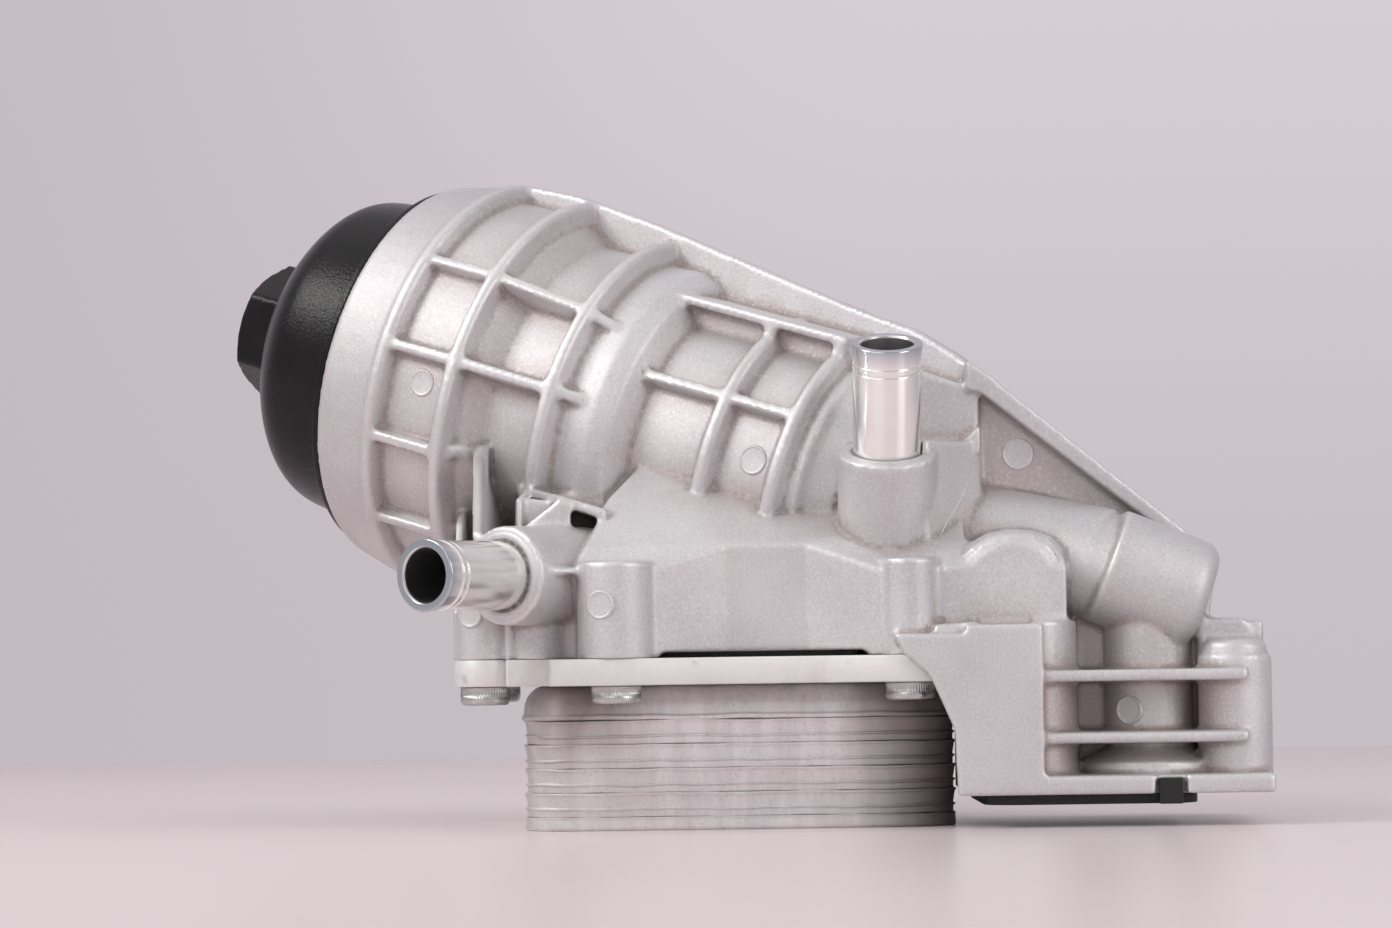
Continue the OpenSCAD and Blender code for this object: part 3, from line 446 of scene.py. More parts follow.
def rounded_profile(corners, steps=4):
    """Each corner (radius, height, rounding) becomes a quadratic curve, begun the rounding away."""
    corners = np.array(corners, float)
    made = [corners[0, :2]]
    for before, here, after in zip(corners[:-2], corners[1:-1], corners[2:]):
        reach = here[2]
        if reach <= 0:
            made.append(here[:2])
            continue
        into = before[:2] - here[:2]
        out = after[:2] - here[:2]
        start = here[:2] + into * min(reach / max(np.linalg.norm(into), 1e-9), 0.49)
        end = here[:2] + out * min(reach / max(np.linalg.norm(out), 1e-9), 0.49)
        for t in np.linspace(0, 1, steps + 1):
            made.append((1 - t) ** 2 * start + 2 * t * (1 - t) * here[:2] + t ** 2 * end)
    made.append(corners[-1, :2])
    return np.array(made)


def axis_pose(origin, direction, down):
    """A matrix whose columns are: the side that down points to, its neighbour, and the direction."""
    z = Vector(direction).normalized()
    x = (Vector(down) - z * Vector(down).dot(z)).normalized()
    y = z.cross(x)
    return Matrix.Translation(origin) @ Matrix((x, y, z)).transposed().to_4x4()


def grid_mesh(name, points, around=True, pose=None):
    """Points (rows, columns, 3) joined into quads; around closes the columns into a ring."""
    rows, cols = points.shape[:2]
    index = np.arange(rows * cols).reshape(rows, cols)
    right = np.roll(index, -1, axis=1)
    if not around:
        index, right = index[:, :-1], right[:, :-1]
    quads = np.stack([index[:-1], right[:-1], right[1:], index[1:]], axis=-1).reshape(-1, 4)
    mesh = bpy.data.meshes.new(name)
    mesh.from_pydata((points.reshape(-1, 3)).tolist(), [], quads.tolist())
    if pose is not None:
        mesh.transform(pose)
    cells = bmesh.new()
    cells.from_mesh(mesh)
    bmesh.ops.remove_doubles(cells, verts=cells.verts, dist=1e-7)
    bmesh.ops.recalc_face_normals(cells, faces=cells.faces)
    cells.to_mesh(mesh)
    cells.free()
    thing = placed(name, mesh)
    smooth_shaded(thing)
    return thing


def rings_of(radius, angle, heights):
    """One ring a height: x = r cos a, y = r sin a, z = height."""
    return np.stack([radius * np.cos(angle), radius * np.sin(angle), heights[:, None] + 0 * radius * angle],
                    axis=-1)


def revolve(profile_mm, steps):
    """(radius, height) rows carried round the axis, in metres."""
    angle = np.linspace(0, 2 * math.pi, steps, endpoint=False)
    return rings_of(profile_mm[:, :1] * MM, angle, profile_mm[:, 1] * MM)


def joined(name, things):
    """One object from several, with every mesh's faces."""
    cells = bmesh.new()
    for thing in things:
        cells.from_mesh(thing.data)
        bpy.data.objects.remove(thing)
    made = placed(name, mesh_from(name, cells))
    smooth_shaded(made)
    return made


# %% [markdown]
# The solid has the casting's main forms in plain outline. Its lesser ones are added to the copy that
# is dressed, before it is turned into cells, so that they melt into it with fillets: the leaning
# gusset and thin ribs by the side boss, the stepped edge of the web, the arch of the blister, the
# walls of the bay beside the duct and the square end of the block. Each is a prism, a bar or a turned
# plug with its foot inside the solid, in millimetres, and none reaches into a bore of the chamber.

# %% Lesser forms of the casting
cap_turn = joints["cap_turn"]
AXIS = Vector(cap_turn["axis"]).normalized()
RIM = Vector(cap_turn["pos_m"])
CAP_POSE = axis_pose(RIM, AXIS, (0, 0, -1))
SEAT_Z = 45.5
FLANGE_Z = 8.5
LEG_TOP = 53.8


def prism(axis, low, high, outline, pose=None):
    """An outline in the two other axes, carried along one axis from low to high."""
    def place(at, u, v):
        return {"X": (at, u, v), "Y": (u, at, v), "Z": (u, v, at)}[axis]

    cells = bmesh.new()
    ends = [[cells.verts.new(Vector(place(at, u, v)) * MM) for u, v in outline] for at in (low, high)]
    for end in ends:
        cells.faces.new(end)
    for k in range(len(outline)):
        n = (k + 1) % len(outline)
        cells.faces.new((ends[0][k], ends[0][n], ends[1][n], ends[1][k]))
    bmesh.ops.triangulate(cells, faces=cells.faces[:])
    bmesh.ops.recalc_face_normals(cells, faces=cells.faces[:])
    mesh = mesh_from("prism", cells)
    if pose is not None:
        mesh.transform(pose)
    return placed("prism", mesh)


def slab(x, y, z, pose=None):
    """A block from its ranges along the three axes."""
    return prism("Z", z[0], z[1], [(x[0], y[0]), (x[1], y[0]), (x[1], y[1]), (x[0], y[1])], pose)


def plug(foot, direction, corners, steps=72):
    """A turned solid that stands on a foot; corners are (radius, height, rounding)."""
    pose = axis_pose(Vector(foot) * MM, direction, (0.3, 0.2, -1) if abs(direction[2]) < 0.8 else (1, 0, 0))
    return grid_mesh("plug", revolve(rounded_profile(corners, 5), steps), pose=pose)


def bar(foot, tip, radius):
    span = Vector(tip) - Vector(foot)
    return plug(foot, span, [(0, 0, 0), (radius, 0, 0), (radius, span.length, 2), (0, span.length, 0)])


def tilted(foot, lean_deg, turn_deg):
    """A pose leaned about Y, then turned about Z, at a foot in millimetres."""
    return (Matrix.Translation(Vector(foot) * MM) @ Matrix.Rotation(math.radians(turn_deg), 4, "Z")
            @ Matrix.Rotation(math.radians(lean_deg), 4, "Y"))


def chamber_web():
    """The web's edge, as (depth below the rim, height over the axis), and the ledge at its foot."""
    edge = [(19.6, 59.3), (38, 60.0), (64, 57.9), (104, 52.6), (135.5, 48.5), (149, 47.8), (163, 44),
            (176, 38.6)]
    root = [(176, 34), (152, 34), (92, 37), (83, 46), (19.6, 46)]
    ledge_h = 42.4
    made = [prism("Y", -2.5, 2.5, [(-height, -depth) for depth, height in edge + root], CAP_POSE),
            slab((-ledge_h, -ledge_h + 2.6), (0, 22), (-139.3, -83), CAP_POSE)]
    for depth in (116, 137.5):
        made.append(slab((1.3 - ledge_h, -37), (0, 22), (-depth - 1.8, 1.8 - depth), CAP_POSE))
    return made


def side_ribs():
    """What braces the chamber's wide end and the side boss."""
    return [
        prism("X", -2.6, 0,
              [(0, -6), (0, 1), (46, 26.3), (47, 24), (62, 2), (62, -30), (14, -30), (14, -6)],
              tilted((-67.3, -50, 78.5), -12, -4.4)),
        prism("X", -76, -74, [(-34, SEAT_Z), (-34, 59), (-12, 83), (4, 86), (16, 86), (16, SEAT_Z)]),
        prism("X", -58.7, -56.9, [(-36, 74), (-36, 88.3), (-8, 89.6), (-3, 89.6), (10, 74)]),
        prism("Z", -2.6, 0, [(0, 0), (12.4, -32), (25.6, -34), (34, -16), (34, -12), (0, 3)],
              tilted((-59.3, -6, 93), 17.8, 0)),
        prism("Y", -34, -31, [(-58, 74), (-58, 89), (-46, 87), (-46, 74)]),
        prism("Y", -39.5, -36.9, [(-58.9, 79), (-47.2, 88), (-44.1, 87), (-44.1, 79)]),
        prism("Z", 67.8, 69.4, [(-51.2, -62.5), (-41.8, -57.5), (-41.8, -45), (-51.2, -45)]),
        prism("X", -61.7, -60.1, [(-47.5, SEAT_Z), (-47.5, 58.5), (-30, 66), (-30, SEAT_Z)]),
        prism("Y", -44.5, -26.5, [(-60.7, SEAT_Z), (-60.7, 62.6), (-41.4, 62.6), (-41.4, SEAT_Z)])]


def right_end():
    """The duct's reach to the elbow, the soft blister, and the walls and column of the block."""
    turn = np.linspace(0, math.pi / 2, 10)
    bay_wall = list(zip(78 + 11 * np.sin(turn), -63.3 + 17 * (1 - np.cos(turn))))
    crown = [(54, 66), (57, 70.5), (61, 74.5), (66, 77.2), (72, 78.2), (78, 77.6), (82.5, 76), (85.2, 73),
             (86, 68)]
    blister = []
    for front, inset in ((-52.5, 0), (-54.6, 0.8), (-56, 2), (-56.9, 3.8)):
        outline = [(x + (70 - x) / 16 * inset, z - inset) for x, z in crown]
        blister.append(prism("Y", front, -30, outline + [(outline[-1][0], 48), (outline[0][0], 48)]))
    return blister + [
        bar((44, -16, 80), (106, -41, 65.4), 14.9),
        plug((97.3, -42, 68.5), (0.927, 0, -0.375),
             [(0, 0, 0), (15.6, 0, 1), (15.6, 25, 2), (12.6, 28, 2), (0, 28, 0)]),
        prism("Y", -33, -22, [(62, 116), (62, 124), (69, 119.4), (75, 113)]),
        prism("Y", -37, -10, [(57, 99), (65.3, 106.4), (65.3, 99)]),
        prism("Y", -63.3, -47, [(50.9, SEAT_Z), (50.9, 53.2), (62, LEG_TOP), (62, SEAT_Z)]),
        prism("Z", FLANGE_Z, LEG_TOP, [(77, -20), (77, -63.3)] + bay_wall + [(89, -20)]),
        slab((86.8, 122.5), (-40, -36), (FLANGE_Z, 57)),
        plug((130.2, -51, FLANGE_Z), (0, 0, 1), [(0, 0, 0), (8.6, 0, 0), (8.6, 40, 3.5), (0, 40, 0)]),
        prism("Y", -50, 13, [(121, 42), (138.3, 42), (138.1, 53.2), (121, 52.6)])]


# %% [markdown]
# A casting has no sharp edge: the mould is cut with round tools, so every inner corner has a fillet
# and every crest is round. The solid has sharp ones. A copy of it is therefore turned into small
# cells (a voxel remesh), smoothed so that edges round off by about a millimetre, and thinned where
# it is flat.

# %% The casting
VOXEL_MM = 0.8
SMOOTH_ROUNDS = 3
TRIANGLES = 192000
COLLAPSE_YIELD = 0.72
CONVEX_GAIN = 2.2
POCKET_ROUNDS = 45
POCKET_PULL = 0.7
POCKET_DEPTH_MM = 1.6
BLUR_ROUNDS = 6


def baked(thing):
    """Replaces an object's mesh by what its modifiers make of it."""
    seen = thing.evaluated_get(bpy.context.evaluated_depsgraph_get())
    mesh = bpy.data.meshes.new_from_object(seen)
    thing.modifiers.clear()
    thing.data = mesh
    return thing


def points_of(mesh):
    co = np.zeros(len(mesh.vertices) * 3)
    mesh.vertices.foreach_get("co", co)
    return co.reshape(-1, 3)


def note_shape(mesh, rounds=2):
    """Writes two numbers on each point.

    convexity is 0.5 + how far the point stands out from the mean of its neighbours, over the square
    of the edge length; the finish paints crests lighter and folds darker by it. The pocket number is
    0.5 + how far it lies below a heavily smoothed copy of the mesh; the finish paints shade in hollows by it.
    """
    co = points_of(mesh)
    normals = np.zeros(len(mesh.vertices) * 3)
    mesh.vertices.foreach_get("normal", normals)
    normals = normals.reshape(-1, 3)
    ends = np.zeros(len(mesh.edges) * 2, int)
    mesh.edges.foreach_get("vertices", ends)
    a, b = ends.reshape(-1, 2).T
    count = np.bincount(a, minlength=len(co)) + np.bincount(b, minlength=len(co))

    def spread(value):
        total = np.bincount(a, value[b], len(co)) + np.bincount(b, value[a], len(co))
        return total / np.maximum(count, 1)

    mean = np.stack([spread(co[:, k]) for k in range(3)], axis=1)
    edge_length = np.linalg.norm(co[a] - co[b], axis=1)
    length = (np.bincount(np.concatenate([a, b]), np.tile(edge_length, 2), len(co))
              / np.maximum(count, 1))
    stands_out = ((co - mean) * normals).sum(1) / np.maximum(length, 1e-6) ** 2 * MM
    for _ in range(rounds):
        stands_out = 0.5 * stands_out + 0.5 * spread(stands_out)
    layer = mesh.attributes.new("convexity", "FLOAT", "POINT")
    layer.data.foreach_set("value", np.clip(0.5 + stands_out * CONVEX_GAIN, 0, 1))
    smooth = co.copy()
    for _ in range(POCKET_ROUNDS):
        around = np.stack([spread(smooth[:, k]) for k in range(3)], axis=1)
        smooth = (1 - POCKET_PULL) * smooth + POCKET_PULL * around
    depth = ((smooth - co) * normals).sum(1) / MM / POCKET_DEPTH_MM
    for _ in range(BLUR_ROUNDS):
        depth = 0.5 * depth + 0.5 * spread(depth)
    layer = mesh.attributes.new("pocket_shade", "FLOAT", "POINT")
    layer.data.foreach_set("value", np.clip(0.5 + 0.5 * depth, 0, 1))


forms = [closed_copy("solid", "housing")] + chamber_web() + side_ribs() + right_end()
casting = joined("cast_housing", forms)
remesh = casting.modifiers.new("cells", "REMESH")
remesh.mode = "VOXEL"
remesh.voxel_size = VOXEL_MM * MM
baked(casting)
relax = casting.modifiers.new("round_off", "SMOOTH")
relax.factor = 0.5
relax.iterations = SMOOTH_ROUNDS
thin = casting.modifiers.new("thin", "DECIMATE")
thin.ratio = min(1.0, TRIANGLES / COLLAPSE_YIELD / (2 * len(casting.data.polygons)))
baked(casting)
smooth_shaded(casting)
note_shape(casting.data)
wear(casting, CAST)
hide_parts("housing")
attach(casting, "housing_body")
print("casting:", len(casting.data.polygons), "triangles")

# %% [markdown]
# The screw cap: a dome with a round shoulder on a thin flange, and a hexagon on its crown. The
# hexagon's top is turned off to a cone, as on every nut, which gives its round outline. The skirt
# below the flange carries the thread and the ring seal, and shows when the cap is unscrewed.

# %% Screw cap
cap_corners = [
    (0, 46.2, 0), (12, 45.8, 4), (18, 43.4, 4), (30, 36.2, 6), (39.0, 30.3, 7), (44.6, 24.2, 5),
    (45.8, 17.4, 5), (46.1, 5.4, 2), (46.6, 2.9, 0.9), (52.2, 2.5, 0.3), (52.6, 2.2, 0.3),
    (52.6, 0.6, 0.2), (52.2, 0.32, 0.2), (47.1, 0.32, 0.2), (46.2, -1.0, 0.5), (46.2, -2.4, 0.3)]
thread = []
pitch = 3.0
for turn in range(4):
    foot = -2.4 - turn * pitch
    thread += [(46.2, foot, 0.2), (47.1, foot - 0.9, 0.2), (47.1, foot - 1.3, 0.2), (46.2, foot - 2.2, 0.2)]
cap_corners += thread + [
    (45.9, -14.6, 0.4), (44.2, -16.8, 0.4), (44.2, -22.4, 0.2), (41.2, -22.4, 0.3),
    (41.2, -25.6, 0.3), (44.2, -25.6, 0.2), (44.2, -28.4, 0.4), (43.4, -29, 0.3), (38.2, -29, 0.3),
    (38.2, -14, 2), (41.0, 6, 3), (41.4, 17, 5), (36.4, 27.2, 5), (16, 38.2, 3), (0, 39.6, 0)]
cap_shell = grid_mesh("cap_shell", revolve(rounded_profile(cap_corners, 5), 160), pose=CAP_POSE)

HEX_ACROSS = 34.0
HEX_TOP = 55.0
HEX_FOOT = 40.5


def hexagon(across, foot, top, edge, chamfer_r, drop, steps=24):
    """Rings whose radius is the smaller of a rounded hexagon's and of the chamfer's cone there."""
    angle = np.linspace(0, 2 * math.pi, 6 * steps, endpoint=False)
    turn = np.abs(np.mod(angle, math.pi / 3) - math.pi / 6)
    flat = across / 2 / np.cos(turn)
    flat = np.minimum(flat, across / 2 / math.cos(math.pi / 6) - edge)
    turned = np.linspace(top - drop * 2.2, top - 0.4, 9)
    heights = np.concatenate([[foot, foot + 3], turned, [top - 0.1, top, top]])
    cone = chamfer_r + (top - heights) / math.tan(math.radians(30))
    cone[-3:] = [chamfer_r + 0.1, chamfer_r - 0.6, 0.0]
    radius = np.minimum(flat[None, :], cone[:, None])
    return rings_of(radius, angle, heights) * MM


hexagon_points = hexagon(HEX_ACROSS, HEX_FOOT, HEX_TOP, edge=0.35, chamfer_r=15.4, drop=2.4)
cap_hexagon = grid_mesh("cap_hexagon", hexagon_points, pose=CAP_POSE)
LUG_TURN = math.radians(-50)


def soft_block(name, size_mm, edge_mm, pose):
    """A block whose twelve edges are rounded off with a Bevel's arcs."""
    cells = bmesh.new()
    bmesh.ops.create_cube(cells, size=1.0)
    bmesh.ops.scale(cells, vec=Vector(size_mm) * MM, verts=cells.verts)
    bmesh.ops.bevel(cells, geom=cells.edges[:], offset=edge_mm * MM, segments=3, affect="EDGES",
                    profile=0.5)
    bmesh.ops.transform(cells, matrix=pose, verts=cells.verts)
    bmesh.ops.recalc_face_normals(cells, faces=cells.faces)
    thing = placed(name, mesh_from(name, cells))
    smooth_shaded(thing)
    return thing


cap_lug = soft_block("cap_lug", (4.2, 4.0, 2.0), 0.4, CAP_POSE @ Matrix.Rotation(LUG_TURN, 4, "Z")
                     @ Matrix.Translation(Vector((52.8, 0, 1.4)) * MM))
cap = joined("screw_cap", [cap_shell, cap_hexagon, cap_lug])
wear(cap, CAP_BLACK)
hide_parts("filter_cap")
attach(cap, "cap_body")
print("cap:", len(cap.data.polygons), "faces")

# %% [markdown]
# The hose stubs: a tube whose mouth flares a little to hold the hose, with a fine groove behind it
# and a bore that is chamfered at the mouth. Both are turned to one drawing, and only their length
# differs.

# %% Coolant stubs
STUB_R = 9.1
BORE_R = 7.0
MOUTH_R = 9.5
MOUTH_LEN = 5.2
GRIP_MM = 11.0


def note(thing, name, value):
    """Keeps a number for each point of the mesh under a name."""
    layer = thing.data.attributes.new(name, "FLOAT", "POINT")
    layer.data.foreach_set("value", value.astype(np.float32))


def note_evenly(thing, convexity):
    """The two numbers of the casting's finish, the same all over a small piece on open skin."""
    note(thing, "convexity", np.full(len(thing.data.vertices), convexity))
    note(thing, "pocket_shade", np.full(len(thing.data.vertices), 0.5))


def stub_pose(face_mm, direction):
    aside = (0.3, -0.2, -1) if abs(direction[2]) < 0.5 else (1, 0, 0)
    return axis_pose(Vector(face_mm) * MM, direction, aside)


def stub(name, node, face_mm, direction, length):
    """The stub's profile carried round its own axis, from inside its boss out to the mouth."""
    neck = length - MOUTH_LEN
    corners = [
        (BORE_R, -GRIP_MM, 0), (STUB_R, -GRIP_MM, 0.3), (STUB_R, neck - 2.4, 0.15),
        (STUB_R - 0.22, neck - 2.2, 0.1), (STUB_R - 0.22, neck - 1.9, 0.1), (STUB_R + 0.05, neck - 1.7, 0.1),
        (STUB_R + 0.1, neck - 0.2, 0.15), (STUB_R - 0.2, neck, 0.1), (MOUTH_R, length - 0.35, 0.2),
        (MOUTH_R - 0.3, length, 0.15), (BORE_R + 0.45, length, 0.12), (BORE_R, length - 0.6, 0.12),
        (BORE_R, length - 9, 1), (BORE_R, -GRIP_MM, 0)]
    pose = stub_pose(face_mm, direction)
    piece = grid_mesh(name, revolve(rounded_profile(corners, 4), 144), pose=pose)
    back = np.array(pose.inverted())
    own = points_of(piece.data) @ back[:3, :3].T + back[:3, 3]
    radius = np.hypot(own[:, 0], own[:, 1]) / MM
    height = own[:, 2] / MM
    inside = (radius < BORE_R + 0.3) & (height < length - 0.1)
    note(piece, "bore", inside)
    note(piece, "mouth", (height > neck + 0.1) & ~inside & (radius > BORE_R + 0.44))
    wear(piece, POLISHED)
    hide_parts(node)
    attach(piece, "housing_body")


SIDE_TURN = math.radians(38)
TOP_LEAN = math.radians(19)
SIDE_FACE = (-61.7, -56, 67.6)
TOP_FACE = (39.9, -47, 99)
SIDE_OUT = (-math.sin(SIDE_TURN), -math.cos(SIDE_TURN), 0)
TOP_OUT = (0, -math.sin(TOP_LEAN), math.cos(TOP_LEAN))
SIDE_LENGTH = 31.3
TOP_LENGTH = 30
stub("side_stub", "side_coolant_stub", SIDE_FACE, SIDE_OUT, SIDE_LENGTH)
stub("top_stub", "top_coolant_stub", TOP_FACE, TOP_OUT, TOP_LENGTH)

# %% [markdown]
# Where a stub enters its boss, the casting has a turned collar with a soft step, and a gritty bead of
# sealant has oozed out of the joint. Both are profiles carried round the stub's axis.

# %% Collars and sealant
RING_STEPS = 240


def sealant_paste():
    f = Finish("sealant_paste", Specular_IOR_Level=0.3, Metallic=0.2)
    grit = f.noise(900, 3.0, 0.7)
    f.bump(grit, 0.5, 0.8)
    return f.show(Base_Color=f.mix(grit.step(0.35, 0.7), (0.20, 0.18, 0.165), (0.46, 0.43, 0.41)),
                  Roughness=0.7 + grit * 0.2)


def collar_ring(name, face_mm, direction, corners, finish, bumpy=0.0):
    points = revolve(rounded_profile(corners + corners[:1], 4), RING_STEPS)
    angle = np.linspace(0, 2 * math.pi, RING_STEPS, endpoint=False)
    lumps = 1 + bumpy * (np.sin(37 * angle) * np.sin(23 * angle + 1) + 0.6 * np.sin(71 * angle + 2))
    points[..., :2] *= lumps[None, :, None]
    ring = grid_mesh(name, points, pose=stub_pose(face_mm, direction))
    wear(ring, finish)
    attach(ring, "housing_body")
    note_evenly(ring, 0.55)


SEALANT = sealant_paste()
collar_corners = [
    (9.6, -1.2, 0.1), (9.6, 0.25, 0.3), (10.3, 0.55, 0.3), (11.0, 0.5, 0.3), (11.4, 0.15, 0.3),
    (12.1, 0.1, 0.3), (12.4, -0.3, 0.3), (12.5, -1.2, 0.1)]
bead_corners = [(9.0, -0.8, 0.1), (9.0, 0.3, 0.3), (9.5, 0.55, 0.3), (9.95, 0.3, 0.3), (9.95, -0.8, 0.1)]
for where, face, out_dir in (("side", SIDE_FACE, SIDE_OUT), ("top", TOP_FACE, TOP_OUT)):
    collar_ring(f"{where}_boss_collar", face, out_dir, collar_corners, CAST)
collar_ring("side_sealant", SIDE_FACE, SIDE_OUT, bead_corners, SEALANT, 0.012)
print("collars: 2, sealant: 1")

# %% [markdown]
# Machined and sheet pieces keep their solids. Their edges only need breaking: a Weld joins the loose
# triangles and a Bevel rounds what is sharper than 32 degrees.

# %% Broken edges on the plain solids
SHARP_DEG = 32


def break_edges(node, width_mm, segments=2):
    thing = nodes[node]
    weld = thing.modifiers.new("weld", "WELD")
    weld.merge_threshold = 1e-6
    bevel = thing.modifiers.new("broken_edges", "BEVEL")
    bevel.width = width_mm * MM
    bevel.segments = segments
    bevel.limit_method = "ANGLE"
    bevel.angle_limit = math.radians(SHARP_DEG)


break_edges("mounting_plate", 0.5)
break_edges("engine_gasket", 0.35)

# %% [markdown]
# The front and rear edges of the plate swell softly round each screw, which the solid has as plain
# round ears. A strip along each edge covers them: its outline is a sum of bell curves.

# %% Soft edge of the plate
EDGE_Y = 59.0
SWELL = 3.75
SPREAD = 14.0
SWELL_AT = (-32.4, 44.8)


def ripple(length_mm, seed, amount):
    """A sum of five sines along the outline, with wavelengths from 7 to 60 mm."""
    rng = np.random.default_rng(seed)
    waves = rng.uniform(7, 60, 5)
    phase = rng.uniform(0, 2 * math.pi, 5)
    return amount * np.sin(2 * math.pi * length_mm[:, None] / waves + phase).mean(axis=1)


def plate_strip(way):
    """y = edge + swell exp(-((x - screw) / spread)^2), with its upper and lower edge broken."""
    low, high = (corner[2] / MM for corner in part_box("mounting_plate"))
    thick = high - low
    x = np.linspace(-50, 56, 90)
    near = np.min([np.abs(x - at) for at in SWELL_AT], axis=0) / SPREAD
    edge = EDGE_Y + SWELL * np.exp(-near ** 2) + ripple(x + 60, 5, 0.12)
    rows = ((0.02, -7), (0.02, -0.5), (0.15, -0.15), (0.5, 0), (thick - 0.5, 0), (thick - 0.15, -0.15),
            (thick - 0.02, -0.5), (thick - 0.02, -7), (0.02, -7))
    points = np.array([np.stack([x, way * (edge + out), np.full(len(x), low + up)], axis=1)
                       for up, out in rows])
    left, right = (np.repeat(points[:, end:][:, :1].mean(axis=0)[None], len(rows), 0) for end in (0, -1))
    strip = grid_mesh("plate_strip", np.concatenate([left, points, right], 1) * MM, around=False)
    wear(strip, PLATE)
    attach(strip, "housing_body")


for way in (1, -1):
    plate_strip(way)
print("plate strips: 2")

# %% [markdown]
# The cooler's trays are pressed from thin sheet: each flares a little upward and ends in a lip that
# lies on the next one, so the stack shows a bright lip over a dark line. The presses and the furnace
# leave the lips slightly wavy. A tray is a profile of (height, distance outward) carried round the
# rounded outline of its own box.

# %% Pressed trays
TRAY_CORNER = 13.0


def round_outline(half_x, half_y, corner, steps=26, straight=34):
    """Points and outward directions round a rectangle with round corners, anticlockwise."""
    points, outward = [], []
    for k, (sx, sy) in enumerate(((1, 1), (-1, 1), (-1, -1), (1, -1))):
        angle = np.linspace(0, math.pi / 2, steps) + k * math.pi / 2
        normal = np.stack([np.cos(angle), np.sin(angle)], axis=1)
        points.append(np.array([sx * (half_x - corner), sy * (half_y - corner)]) + corner * normal)
        outward.append(normal)
    filled, directions = [], []
    for k in range(4):
        filled.append(points[k])
        directions.append(outward[k])
        start, end = points[k][-1], points[(k + 1) % 4][0]
        share = np.linspace(0, 1, straight + 2)[1:-1, None]
        filled.append(start + (end - start) * share)
        directions.append(np.repeat(outward[k][-1:], straight, axis=0))
    return np.concatenate(filled), np.concatenate(directions)


def pressed_tray(name, node, profile, wavy, seed):
    """Each profile row (height, outward, waviness) runs round the outline; the first and last close it."""
    low, high = (np.array(corner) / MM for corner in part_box(node))
    half = (high[:2] - low[:2]) / 2
    middle = (high[:2] + low[:2]) / 2
    outline, outward = round_outline(half[0], half[1], TRAY_CORNER)
    length = np.concatenate([[0], np.cumsum(np.linalg.norm(np.diff(outline, axis=0), axis=1))])
    rows = np.array(rounded_rows(profile))
    rise = ripple(length, seed, wavy)
    shift = ripple(length, seed + 50, wavy * 0.6)
    out = rows[:, 1, None] + (shift[None, :] - wavy * 0.6) * rows[:, 2, None]
    flat = outline[None] + outward[None] * np.minimum(out, 0)[..., None] + middle
    height = low[2] + rows[:, 0, None] + rise[None, :] * rows[:, 2, None]
    points = np.concatenate([flat, height[..., None]], axis=-1)
    caps = []
    for row in (0, -1):
        centre = np.zeros((1,) + points.shape[1:])
        centre[0, :, :2] = middle
        centre[0, :, 2] = points[row, :, 2].mean()
        caps.append(centre)
    piece = grid_mesh(name, np.concatenate([caps[0], points, caps[1]]) * MM)
    wear(piece, BRAZED)
    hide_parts(node)
    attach(piece, "housing_body")


def rounded_rows(profile):
    """Rounds the corners (height, outward, waviness, rounding) of a wall's profile."""
    flat = rounded_profile([(row[1], row[0], row[3]) for row in profile], 3)
    heights = np.array([row[0] for row in profile])
    lift = np.interp(flat[:, 1], heights, [row[2] for row in profile])
    return np.stack([flat[:, 1], flat[:, 0], lift], axis=1)


tray_profile = [
    (0.00, -3.0, 0.2, 0), (0.02, -0.9, 0.5, 0.2), (1.70, -0.75, 1, 0.3), (1.95, -0.20, 1, 0.15),
    (2.25, -0.15, 1, 0.15), (2.45, -0.85, 1, 0.15), (5.50, -0.35, 1, 0.5), (5.85, 0.0, 1, 0.15),
    (6.25, 0.0, 0.8, 0.15), (6.38, -0.9, 0.2, 0.1), (6.39, -3.0, 0.1, 0)]
base_profile = [
    (0.00, -1.6, 0, 0), (0.01, -0.5, 0, 0.3), (0.6, -0.1, 0.2, 0.4), (2.9, -0.2, 0.8, 0.3),
    (3.25, -0.05, 1, 0.15), (3.45, -0.1, 0.5, 0.1), (3.58, -0.9, 0.2, 0.1), (3.59, -3.0, 0, 0)]
top_tray_profile = [
    (0.00, -3.0, 0.1, 0), (0.05, -0.4, 0.6, 0.2), (0.4, -0.05, 1, 0.2), (1.1, 0.0, 1, 0.3),
    (1.5, -0.5, 1, 0.4), (4.4, -0.85, 0.6, 1.2), (7.0, -2.0, 0.3, 1.6), (9.0, -4.6, 0, 1.2),
    (9.16, -9.0, 0, 0.2), (9.18, -12.0, 0, 0)]
pressed_tray("base_sheet", "cooler_base_plate", base_profile, 0.22, 3)
for k in range(1, 5):
    pressed_tray(f"pressed_tray_{k}", f"cooler_tray_{k}", tray_profile, 0.34, 10 + k)
pressed_tray("top_pressed_tray", "cooler_top_tray", top_tray_profile, 0.30, 30)
print("cooler sheets: 6")

# %% [markdown]
# The screws are zinc-plated, with a round head. The upper half of the head is knurled for grip and
# the lower half is smooth and round. The knurl is a cosine on the radius, 54 teeth round, and the
# drive is a recess with six lobes, whose radius is another cosine.

# %% Screws
HEAD_R = 6.6
HEAD_H = 4.6
SHANK_R = 2.9
TEETH = 54


